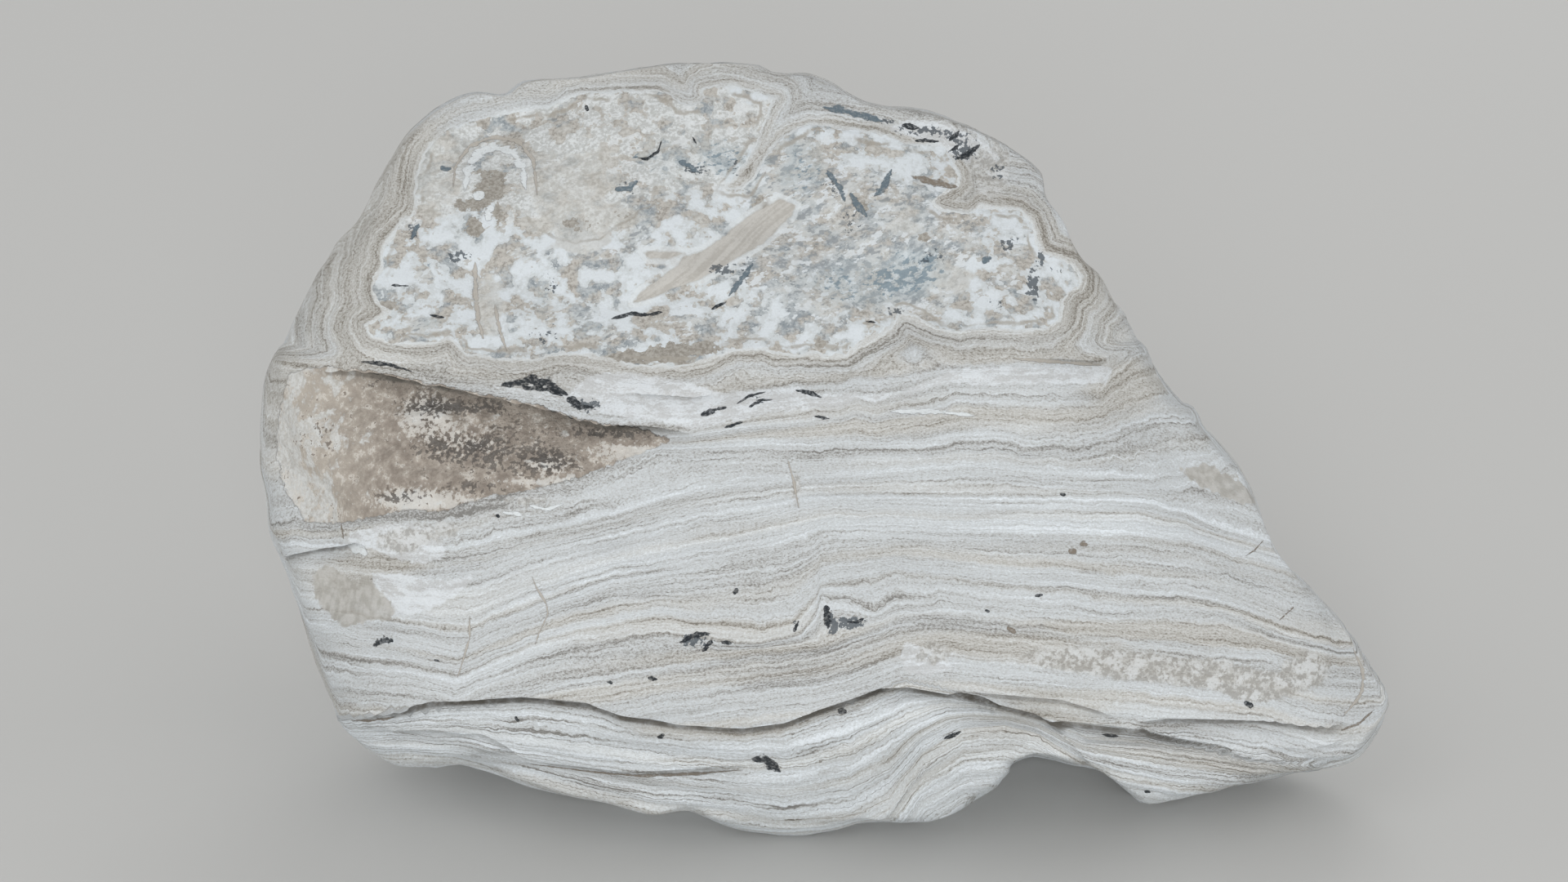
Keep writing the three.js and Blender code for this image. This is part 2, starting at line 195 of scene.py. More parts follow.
SPHERE_FREQUENCY = 98  # each icosahedron edge is split into this many
FRONT_PULL = 0.6  # under 1 crowds the facets towards the front
EDGED_FACING = 0.02  # the edges are only where a point faces front more than this
MARKED_FACING = 0.05  # and the patches, streaks and crevices where it does so more than this


# ---- Small helpers -----------------------------------------------------------------------------

def smoothstep(x, low, high):
    t = np.clip((x - low) / (high - low), 0, 1)
    return t * t * (3 - 2 * t)


def lerp(low, high, t):
    return low + (high - low) * t


def soft_min(p, q, k):
    """The smaller of two depths, rounded where they meet over a band k wide."""
    k = np.maximum(k, 1e-6)
    h = np.clip(0.5 + 0.5 * (q - p) / k, 0, 1)
    return lerp(q, p, h) - k * h * (1 - h)


def lattice_value(i, j, k):
    s = np.sin(i * 12.9898 + j * 78.233 + k * 37.719) * 43758.5453
    return s - np.floor(s)


def noise(x, y, z):
    """Repeatable lattice noise between -1 and 1."""
    x, y, z = np.broadcast_arrays(x, y, z)
    i, j, k = np.floor(x), np.floor(y), np.floor(z)
    u, v, t = (smoothstep(p - q, 0, 1) for p, q in ((x, i), (y, j), (z, k)))

    def layer(m):
        low = lerp(lattice_value(i, j, m), lattice_value(i + 1, j, m), u)
        high = lerp(lattice_value(i, j + 1, m), lattice_value(i + 1, j + 1, m), u)
        return lerp(low, high, v)

    return 2 * lerp(layer(k), layer(k + 1), t) - 1


def columns(rows):
    """The columns of a table, as arrays."""
    return np.array(rows, float).T


# ---- The outline as a polar curve around CORE --------------------------------------------------

TURN = 2 * math.pi
SMOOTH_STEP = math.radians(0.5)
SMOOTH_WIDTH = math.radians(11)
SMOOTH_REACH = 60  # steps to either side that are averaged


def outline_loop():
    """Angles and radii of the outline's points, with three repeated past each end."""
    a, b = columns(OUTLINE)
    angle = np.arctan2(b - CORE[1], a - CORE[0])
    radius = np.hypot(a - CORE[0], b - CORE[1])
    order = np.argsort(angle)
    angle, radius = angle[order], radius[order]
    angles = np.concatenate([angle[-3:] - TURN, angle, angle[:3] + TURN])
    return angles, np.concatenate([radius[-3:], radius, radius[:3]])


LOOP_ANGLE, LOOP_RADIUS = outline_loop()


def reach(angle):
    """Radius of the outline: a cubic through its points that doesn't overshoot."""
    after = np.clip(np.searchsorted(LOOP_ANGLE, angle), 2, len(LOOP_ANGLE) - 2)
    t0, t1, t2, t3 = (LOOP_ANGLE[after + i] for i in (-2, -1, 0, 1))
    r0, r1, r2, r3 = (LOOP_RADIUS[after + i] for i in (-2, -1, 0, 1))
    step = t2 - t1
    t = (angle - t1) / step
    limit = 2.5 * np.abs(r2 - r1) + 0.3
    m1 = np.clip((r2 - r0) / (t2 - t0) * step, -limit, limit)
    m2 = np.clip((r3 - r1) / (t3 - t1) * step, -limit, limit)
    return lerp(r1, r2, smoothstep(t, 0, 1)) + t * (1 - t) * ((1 - t) * m1 - t * m2)


def smooth_reach_table():
    """The outline's radius at every SMOOTH_STEP, with its small corners averaged out."""
    offsets = np.arange(-SMOOTH_REACH, SMOOTH_REACH + 1) * SMOOTH_STEP
    weights = np.exp(-(offsets / SMOOTH_WIDTH) ** 2)
    angles = np.arange(-math.pi, math.pi + SMOOTH_STEP, SMOOTH_STEP)
    wrapped = (angles[:, None] + offsets + math.pi) % TURN - math.pi
    return angles, (reach(wrapped) * weights).sum(1) / weights.sum()


SMOOTH_ANGLE, SMOOTH_RADIUS = smooth_reach_table()


# ---- Relief that the CAD solid has too ---------------------------------------------------------

def lumps(a, b, w):
    return (
        2.6 * noise(a / 33 + 3.1, b / 24 + 1.7, w / 30 + 5.2)
        + 1.0 * noise(a / 21 + 0.4, b / 10 + 2.9, w / 14 + 8.8)
        + 0.4 * noise(a / 9 + 7.7, b / 5.5 + 0.3, w / 7 + 1.1)
    )


def ribs(a, b, w):
    """Flat-topped ribs along the bedding, where harder beds stand out on the ends and back."""
    bed = noise((0.55 * b + 0.83 * w) / 7.5, a / 70 + 2.2, w / 90 + 4.1)
    return 1.4 * (2 * smoothstep(bed, -0.5, 0.5) - 1)


def plane_depth(planes, a, b):
    """Depth of a family of planes, blended from the first to the last."""
    depth = None
    for at_a, at_b, level, slope_a, slope_b, crown, blend in planes:
        next_depth = level + slope_a * (a - at_a) + slope_b * (b - at_b) - crown * (a - at_a) ** 2
        depth = next_depth if depth is None else soft_min(depth, next_depth, blend)
    return depth


def ledge_relief(ledge, a, b):
    """A step whose lower side is cut back and runs out downwards, with a slight swell above it."""
    level, rise, depth, run, seed = ledge
    wander = 3.5 * noise(a / 26 + seed, seed, 0) + 1.4 * noise(a / 9 + seed, 2.2, 0)
    height = b - (level + rise * a + wander)
    strength = 0.55 + 0.45 * noise(a / 45 + 2 * seed, 0.5, 0)
    recess = np.exp(np.minimum(height, 0) / run)
    swell = 0.15 * np.exp(-np.maximum(height, 0) / 5)
    return depth * strength * lerp(swell, -recess, smoothstep(-height, 0, 2))


def edge_at(edge, a):
    """Height b of an edge at each a, and the depth and run of the cut below it."""
    at_a, at_b, depth, run = columns(edge)
    depth_there = np.interp(a, at_a, depth, left=0, right=0)
    return np.interp(a, at_a, at_b), depth_there, np.interp(a, at_a, run)


def crowd_to_edge(a, b, edge):
    """Moves points near an edge closer to it, and those just under it in below its lip."""
    edge_b, depth, _ = edge_at(edge, a)
    height = b - edge_b
    share = np.clip(np.abs(height) / EDGE_CROWDING, 0, 1) ** CROWDING_POWER
    squeezed = lerp(height, height * share, smoothstep(depth, 0, 0.5))
    tuck = np.where(squeezed < 0, EDGE_TUCK * depth * np.exp(np.minimum(squeezed, 0)), 0)
    return edge_b + squeezed + tuck, squeezed


def edge_recess(a, height, edge):
    """How deep the face is cut back at a height above (or below) an edge."""
    _, depth, run = edge_at(edge, a)
    down = np.clip(-height / run, 0, 1)
    return np.where(height < 0, depth * (1 - down) ** 1.5, 0)


def crease_marks(a, heights):
    """For each layer, height over its nearest edge and how strong that edge's crevice is."""
    marks = {}
    for k, names in enumerate(CREASE_LAYERS):
        nearest = np.full(len(a), NO_EDGE_NEAR)
        strength = np.zeros(len(a))
        for name in names:
            _, depth, _ = edge_at(ALL_EDGES[name], a)
            chosen = (depth > 0) & (np.abs(heights[name]) < np.abs(nearest))
            nearest = np.where(chosen, heights[name], nearest)
            fullness = np.sqrt(np.clip(depth / DARKEST_CREASE_DEPTH, 0, 1))
            strength = np.where(chosen, fullness, strength)
        near = np.abs(nearest) < CREASE_REACH
        marks[f"crease_height_{k}"] = np.clip(nearest, -CREASE_REACH, CREASE_REACH)
        marks[f"crease_strength_{k}"] = strength * near
    return marks


def front_depth(a, b):
    plane = plane_depth(FRONT_PLANES, a, b)
    depth = plane + lumps(a, b, plane)
    for at_a, at_b, radius_a, radius_b, height in SWELLS:
        depth += height * np.exp(-((a - at_a) / radius_a) ** 2 - ((b - at_b) / radius_b) ** 2)
    return depth


def back_depth(a, b):
    plane = plane_depth(BACK_PLANES, a, b)
    depth = plane + 1.15 * lumps(a + 71, b + 37, plane) + ribs(a, b, -plane)
    return depth + sum(ledge_relief(ledge, a, b) for ledge in BACK_LEDGES)


# ---- From directions on the unit sphere to points of the stone ---------------------------------

def icosahedron():
    """Corners and faces of an icosahedron."""
    golden = (1 + 5 ** 0.5) / 2
    corners = np.array([
        (-1, golden, 0), (1, golden, 0), (-1, -golden, 0), (1, -golden, 0),
        (0, -1, golden), (0, 1, golden), (0, -1, -golden), (0, 1, -golden),
        (golden, 0, -1), (golden, 0, 1), (-golden, 0, -1), (-golden, 0, 1),
    ])
    return corners, [
        (0, 11, 5), (0, 5, 1), (0, 1, 7), (0, 7, 10), (0, 10, 11),
        (1, 5, 9), (5, 11, 4), (11, 10, 2), (10, 7, 6), (7, 1, 8),
        (3, 9, 4), (3, 4, 2), (3, 2, 6), (3, 6, 8), (3, 8, 9),
        (4, 9, 5), (2, 4, 11), (6, 2, 10), (8, 6, 7), (9, 8, 1),
    ]


def split_face(n):
    """Shares along two sides of a face split n ways, and the triangles between them."""
    steps = [(i, j) for i in range(n + 1) for j in range(n + 1 - i)]
    slot = {step: k for k, step in enumerate(steps)}
    up = [(slot[i, j], slot[i + 1, j], slot[i, j + 1]) for i in range(n) for j in range(n - i)]
    down = [
        (slot[i + 1, j], slot[i + 1, j + 1], slot[i, j + 1])
        for i in range(n) for j in range(n - 1 - i)
    ]
    return np.array(steps, float) / n, np.array(up + down)


def sphere_directions():
    """Unit directions and triangles of an icosahedron split evenly, crowded to the front."""
    corners, faces = icosahedron()
    share, local = split_face(SPHERE_FREQUENCY)
    points, triangles = [], []
    for k, face in enumerate(faces):
        p, q, r = corners[list(face)]
        points.append(p + share[:, :1] * (q - p) + share[:, 1:] * (r - p))
        triangles.append(local + k * len(share))
    points = np.concatenate(points)
    _, first, merged = np.unique(
        np.round(points, 6), axis=0, return_index=True, return_inverse=True)
    directions = points[first] / np.linalg.norm(points[first], axis=1, keepdims=True)
    return crowd_forward(directions), merged.reshape(-1)[np.concatenate(triangles)]


def crowd_forward(directions):
    """Crowds unit directions towards the front without shearing the facets."""
    x, y, z = directions.T
    rho = np.tan(np.arccos(np.clip(z, -1, 1)) / 2) * FRONT_PULL
    z = (1 - rho ** 2) / (1 + rho ** 2)
    scale = np.sqrt(1 - z ** 2) / np.maximum(np.hypot(x, y), 1e-9)
    return np.stack([x * scale, y * scale, z], 1)


def stone_surface(directions):
    """Face coordinates (a, b, w) of each direction before the fine relief, and crease marks."""
    x, y, facing = directions.T  # facing is 1 at the front, 0 on the rim and -1 at the back
    angle = np.arctan2(y, x)
    spread = np.clip(np.hypot(x, y), 0, 1)  # 0 at CORE, 1 on the rim
    smooth_radius = np.interp(angle, SMOOTH_ANGLE, SMOOTH_RADIUS)
    radius = spread * lerp(smooth_radius, reach(angle), spread ** 9)
    a = CORE[0] + radius * np.cos(angle)
    b = CORE[1] + radius * np.sin(angle)
    rim = RIM_LEVEL + RIM_RISE * np.maximum(-b, 0)
    recess = np.zeros(len(a))
    heights = {}
    for name, edge in ALL_EDGES.items():
        moved, heights[name] = crowd_to_edge(a, b, edge)
        b = np.where(facing > EDGED_FACING, moved, b)
        recess += edge_recess(a, heights[name], edge)
    blend = DOME_BLEND * smoothstep(np.abs(facing), 0, DOME_BLEND_FACING) + 0.01
    front = soft_min(rim + FRONT_DOME * facing, front_depth(a, b) - recess, blend)
    back = -soft_min(-rim - BACK_DOME * facing, back_depth(a, b), blend)
    w = np.where(facing > 0, front, back)
    wall = smoothstep(np.abs(facing), 0.06, 0.3) * (1 - smoothstep(np.abs(facing), 0.35, 0.6))
    bulge = wall * (lumps(a + 200, b, w) + ribs(a, b, w))
    around, up = bulge * np.cos(angle), bulge * np.sin(angle)
    return a + around, b + up, w, angle, crease_marks(a, heights)


# ---- Bedding -----------------------------------------------------------------------------------

TOP_HORIZON = -4  # bedding coordinate of the highest horizon, just below the mottled bed
CREASE_HORIZON = -88  # and of the one along the main crease
LEAST_BED = 0.8  # mm: no bed between two horizons gets thinner than this

# Horizons that the laminae follow down the face, by bedding coordinate: points (a, b).
HORIZONS = {
    TOP_HORIZON: [
        (-126, 22), (-112, 20), (-96, 18), (-80, 16.6), (-64, 15.6), (-32, 15.2), (-16, 15.2),
        (0, 17.2), (16, 18.4), (32, 19.4), (48, 21), (64, 22), (80, 21.8), (96, 26),
    ],
    -12: [
        (-112, 14), (-80, 10), (-64, 7), (-48, 4), (-32, 2), (-23, 2.6), (-18.8, 3.4), (-11.2, 5),
        (-2.8, 6.8), (7.4, 8), (14, 8.2), (17.4, 10.2), (22.4, 9.2), (31, 11.4), (38.4, 13.4),
        (41.8, 14), (47.8, 13.8), (78, 13.2), (80.6, 17.2), (86, 21), (92, 22),
    ],
    -24: [
        (-126, -20.4), (-109.6, -20.2), (-102.2, -19), (-92.4, -17), (-83.6, -17.4), (-77.6, -15.2),
        (-65.2, -12.6), (-51, -9.2), (-44.4, -7), (-36.2, -4.4), (-30.4, -2.6), (-22, -2.4),
        (24.2, -2), (36, -2.2), (44.4, -0.2), (51.2, -0.2), (56.2, -1), (57.8, -1.8), (74.6, -1.4),
        (83.2, 0.8), (89.8, 3.8), (98.2, 4.4), (108, 4),
    ],
    -29: [
        (-126, -25), (-106.6, -25.6), (-80, -25.6), (-62, -22), (-52, -20), (-42, -17.6),
        (-28, -13), (-19.6, -11.4), (-11.2, -9.8), (-2.8, -9.2), (15.8, -8), (31, -6.8),
        (44.4, -6.2), (57.8, -7.4), (73, -8.4), (89.8, -8.6), (96.6, -7.8), (100, -5.4), (108, -4),
    ],
    -36: [
        (-126, -30), (-108, -32), (-88, -33.6), (-72, -32), (-62, -28), (-52, -25.6), (-42, -23),
        (-32, -20.6), (-22, -18.4), (-12, -17), (-2, -15.4), (9, -14), (68, -14.4), (88, -14.4),
        (98, -17), (108, -21), (118, -24),
    ],
    -46: [
        (-126, -39), (-112, -41.6), (-96, -43.6), (-84, -46.4), (-77, -47), (-72, -44), (-62, -40),
        (-52, -36.4), (-42, -33), (-28, -31.2), (-19.6, -29.8), (-11.2, -28.2), (-0.2, -25.6),
        (9, -22.2), (19.2, -21.8), (68, -23.4), (98, -25), (108, -28), (128, -34),
    ],
    -58: [
        (-126, -50), (-112, -52), (-96, -54.4), (-80, -57.6), (-72, -54), (-62, -50), (-52, -47),
        (-32, -43.4), (-16, -45), (-6, -45.6), (2, -44), (8, -38), (9, -35.4), (19.2, -34),
        (27.6, -32), (37.6, -33.2), (47.8, -34.2), (56.2, -35.4), (68.8, -35.8), (75.6, -37.2),
        (84, -38.2), (98.2, -38.8), (108, -40.4), (118, -44), (136, -50),
    ],
    -61.5: [
        (-126, -54), (-96, -58), (-80, -61), (-62, -54), (-52, -51), (-32, -47.4), (-16, -49),
        (-6, -49.6), (4, -47), (8, -42), (9, -38), (15.8, -38.8), (22.4, -41.4), (26.8, -38.8),
        (36.8, -38.8), (37.6, -37.4), (47.8, -38.8), (56.2, -39.6), (71.4, -40.6), (79.8, -42.4),
        (98, -42.4), (108, -43.4), (118, -47.4), (136, -52),
    ],
    -66: [
        (-126, -60), (-96, -63), (-80, -65), (-72, -61.6), (-52, -58), (-32, -55), (-12, -52),
        (8, -50), (18, -47), (28, -43.4), (39.4, -42.4), (47.8, -43.4), (78, -46), (98, -47.6),
        (118, -50), (132, -54),
    ],
}

# The same for the underside, below the main crease.
UNDER_HORIZONS = {
    CREASE_HORIZON: [
        (-126, -66), (-104, -68), (-88, -64.8), (-64, -63), (-48, -64.4), (-40, -67.4),
        (-26, -69.6), (-10, -70.6), (0, -69.2), (16, -63.6), (24, -60.6), (30, -58.2), (48, -63.4),
        (68, -68.8), (88, -71.2), (102, -74.4), (114, -78), (136, -80),
    ],
    -98: [
        (-126, -71), (-112, -70.6), (-96, -72), (-80, -72.6), (-64, -74.8), (-48, -77),
        (-32, -79.4), (-16, -80.4), (0, -80.6), (16, -78), (24, -73.6), (32, -68.4), (40, -65.2),
        (48, -65.2), (56, -66.4), (64, -69), (74, -73), (88, -73.4), (108, -77), (136, -82),
    ],
    -112: [
        (-126, -78), (-80, -79), (-64, -83), (-48, -87.4), (-32, -90.4), (-16, -92.2), (0, -94.8),
        (16, -92.4), (26, -87.6), (34, -77), (44, -71), (54, -70), (62, -72), (72, -78), (82, -81),
        (98, -84), (118, -84), (138, -86),
    ],
}

# ---- Patches, zones and streaks ----------------------------------------------------------------

# Edge of the mottled bed that the top surface follows, clockwise from the upper left.
MOTTLED_BED = [
    (-90.4, 55.2), (-89, 66.2), (-88.2, 69.8), (-85.2, 74.2), (-81.6, 76.8), (-76.6, 78.6),
    (-67.8, 80), (-62.8, 81.2), (-57.6, 81.2), (-54.8, 82.2), (-52.6, 84), (-49, 84.8),
    (-42.4, 85.2), (-30.8, 85.4), (-27.8, 84), (-25, 82.2), (-21.4, 82.2), (-19.6, 84),
    (-19.8, 86.2), (-17, 87), (-12, 87), (-6.4, 85.2), (-1.8, 83.8), (-3.4, 82), (-4.6, 79),
    (-6, 75.2), (-7.8, 71.6), (-10.4, 67.8), (-13.2, 64.2), (-15.6, 62), (-13.4, 60.8), (-10, 61.6),
    (-7, 64.8), (-4.4, 69), (-2.2, 71.6), (-0.2, 74), (2.4, 75.8), (6.4, 77.2), (10, 76.8),
    (17.6, 75.4), (22.2, 75.4), (26.6, 73.8), (31.2, 72.4), (38, 72.4), (40.2, 70.4), (42, 66),
    (42.4, 63), (38, 60), (36, 58.4), (39, 56.2), (45.4, 55), (48.4, 57.2), (53.8, 56.4),
    (57.6, 55.8), (59.8, 53.8), (61.2, 50.8), (62.8, 45.6), (65.8, 44.8), (68.8, 43.8), (71, 42.6),
    (72.6, 40.4), (72.2, 38), (69.6, 36.6), (68, 34.2), (67.4, 29.8), (64.2, 28), (59.8, 27.2),
    (52.2, 27.6), (42.4, 27.2), (38, 28), (32.6, 30.6), (28.2, 32), (25.8, 28), (22.2, 26),
    (17.6, 23.8), (14.6, 21.4), (10, 21.4), (4.8, 21.8), (-2, 21.8), (-5, 23), (-12.4, 23),
    (-15.4, 21.6), (-21.4, 19), (-32.2, 18.2), (-44.6, 20.4), (-49, 21.4), (-53.2, 21.8),
    (-57, 21.2), (-62, 20.4), (-68, 20), (-74.4, 20.8), (-77.2, 21.2), (-78.8, 22.6), (-80.2, 24.4),
    (-82, 25.4), (-85.2, 24.4), (-91, 24), (-97, 24.4), (-100.6, 25.4), (-102, 28), (-98.4, 29.8),
    (-96, 32), (-99, 34.2), (-100.2, 37.2), (-99.8, 40), (-98, 42.2), (-98, 45.8), (-97, 48.8),
    (-94.8, 51), (-93, 53.2),
]

# Broken surface under the lip on the left, where the slab came off.
TREAD = [
    (-121, 17), (-112, 18.4), (-106, 17.6), (-92, 15.4), (-82, 13.2), (-62, 9.4), (-52, 6),
    (-44, 4.4), (-34, 2.8), (-27, 0.4), (-31, -1.4), (-36.2, -3.6), (-44.4, -6.6), (-51, -9.2),
    (-57, -10.8), (-65.2, -12.6), (-71.8, -13.4), (-77.6, -15.2), (-83.6, -17.2), (-92.4, -17),
    (-102.2, -19), (-109.6, -20.2), (-117, -20), (-122, -12), (-124.4, -4), (-124, 6),
]

# White lenses and patches among the laminae.
WHITE_BEDS = [
    [
        (-107, -23), (-104, -21.6), (-98, -20.4), (-92, -20), (-86, -21), (-84, -24), (-83, -28),
        (-88, -30.4), (-93, -29.6), (-98, -28), (-102, -26.4), (-106, -25.6),
    ],
    [
        (-72, 14), (-64, 12.8), (-54, 10), (-51, 14), (-46, 16.4), (-36, 16.6), (-28, 15.6),
        (-22, 14), (-16, 12), (-12, 12), (-6, 12.6), (3, 13), (9, 11.4), (17, 12), (19, 11),
        (28, 12), (36, 15), (40, 17), (48, 18), (78, 18), (80.6, 17.6), (79, 14), (47.8, 13.8),
        (41.8, 14), (38.4, 13.4), (31, 11.4), (22.4, 9.2), (17.4, 10.2), (14, 8.2), (7.4, 8),
        (-2.8, 6.8), (-11.2, 5), (-18.8, 3.4), (-23, 2.6), (-28, 4.2), (-34, 5.2), (-40, 6),
        (-48, 7.4), (-54, 9.6), (-62, 11.4), (-72, 12.8),
    ],
    [
        (-101.6, -32), (-92, -33), (-82, -34), (-76, -32.4), (-77, -35.2), (-82.2, -38.8),
        (-86.6, -41.4), (-92.4, -42.6), (-95.4, -42.2), (-98.4, -37.6), (-100.6, -35),
    ],
    [
        (25.2, 76.4), (30, 78.6), (38, 78.4), (44, 76), (50, 72.8), (55, 66), (55.2, 62.8),
        (52, 63), (47, 67), (43, 69), (36, 73), (30, 74.6),
    ],
    [
        (30, -49.2), (34, -50.4), (39.4, -52), (41, -56), (36, -57.4), (30, -57), (28.4, -53),
    ],
]

# Beige pieces of older rock caught in the mottled bed.
CLASTS = [
    [
        (-36.8, 34), (-35, 36.6), (-30, 40), (-26, 43), (-25, 45), (-20, 46.4), (-15.4, 49.4),
        (-10.2, 53.8), (-5.8, 56.8), (-1.2, 59.2), (2.6, 57.6), (1.8, 55.4), (-2, 51.6), (-5, 48.6),
        (-8.8, 46.4), (-14, 43.4), (-20, 40), (-28, 37), (-32, 35),
    ],
    [
        (-34.4, 46.4), (-24.2, 46.2), (-28, 44.6), (-33, 44.8),
    ],
]

# Upper lobe of the mottled bed, duller than the rest.
UPPER_LOBE = [
    (-92, 54), (-90, 68), (-84, 78), (-60, 84), (-30, 89), (-2, 84), (-10, 69), (-14, 61.8),
    (-24, 60.4), (-28, 60), (-32, 58.6), (-35, 57), (-36.4, 54.4), (-43, 51.4), (-45, 49.4),
    (-52, 48), (-56.8, 50), (-61, 52), (-64, 55.6), (-66, 57), (-72, 58), (-80, 55.6), (-86, 55.6),
]

# Grey patches on the lower left and on the right.
GREY_PATCHES = [
    [
        (-115.8, -32.8), (-112.4, -30.5), (-109.6, -31), (-107.8, -32.8), (-104.9, -34.3),
        (-101.6, -32.8), (-100.4, -35.7), (-98.8, -37.6), (-96.8, -38), (-95.2, -41.4),
        (-96.4, -43.8), (-101.6, -43.8), (-107.2, -45.6), (-110.6, -43.8), (-113, -40.4),
        (-115.4, -36.6),
    ],
    [
        (97, -6.6), (103, -5.4), (109, -8), (114, -12), (116, -15.4), (111, -15), (105, -12.4),
        (100, -10),
    ],
]

# Outlines by kind of patch. The mesh holds each kind's signed distance.
PATCHES = {
    "tread": [TREAD],
    "white": WHITE_BEDS,
    "clast": CLASTS,
    "grey_patch": GREY_PATCHES,
    "lobe": [UPPER_LOBE],
}
OFF_THE_FACE = -20  # mm: the signed distance on the back, where no patch is

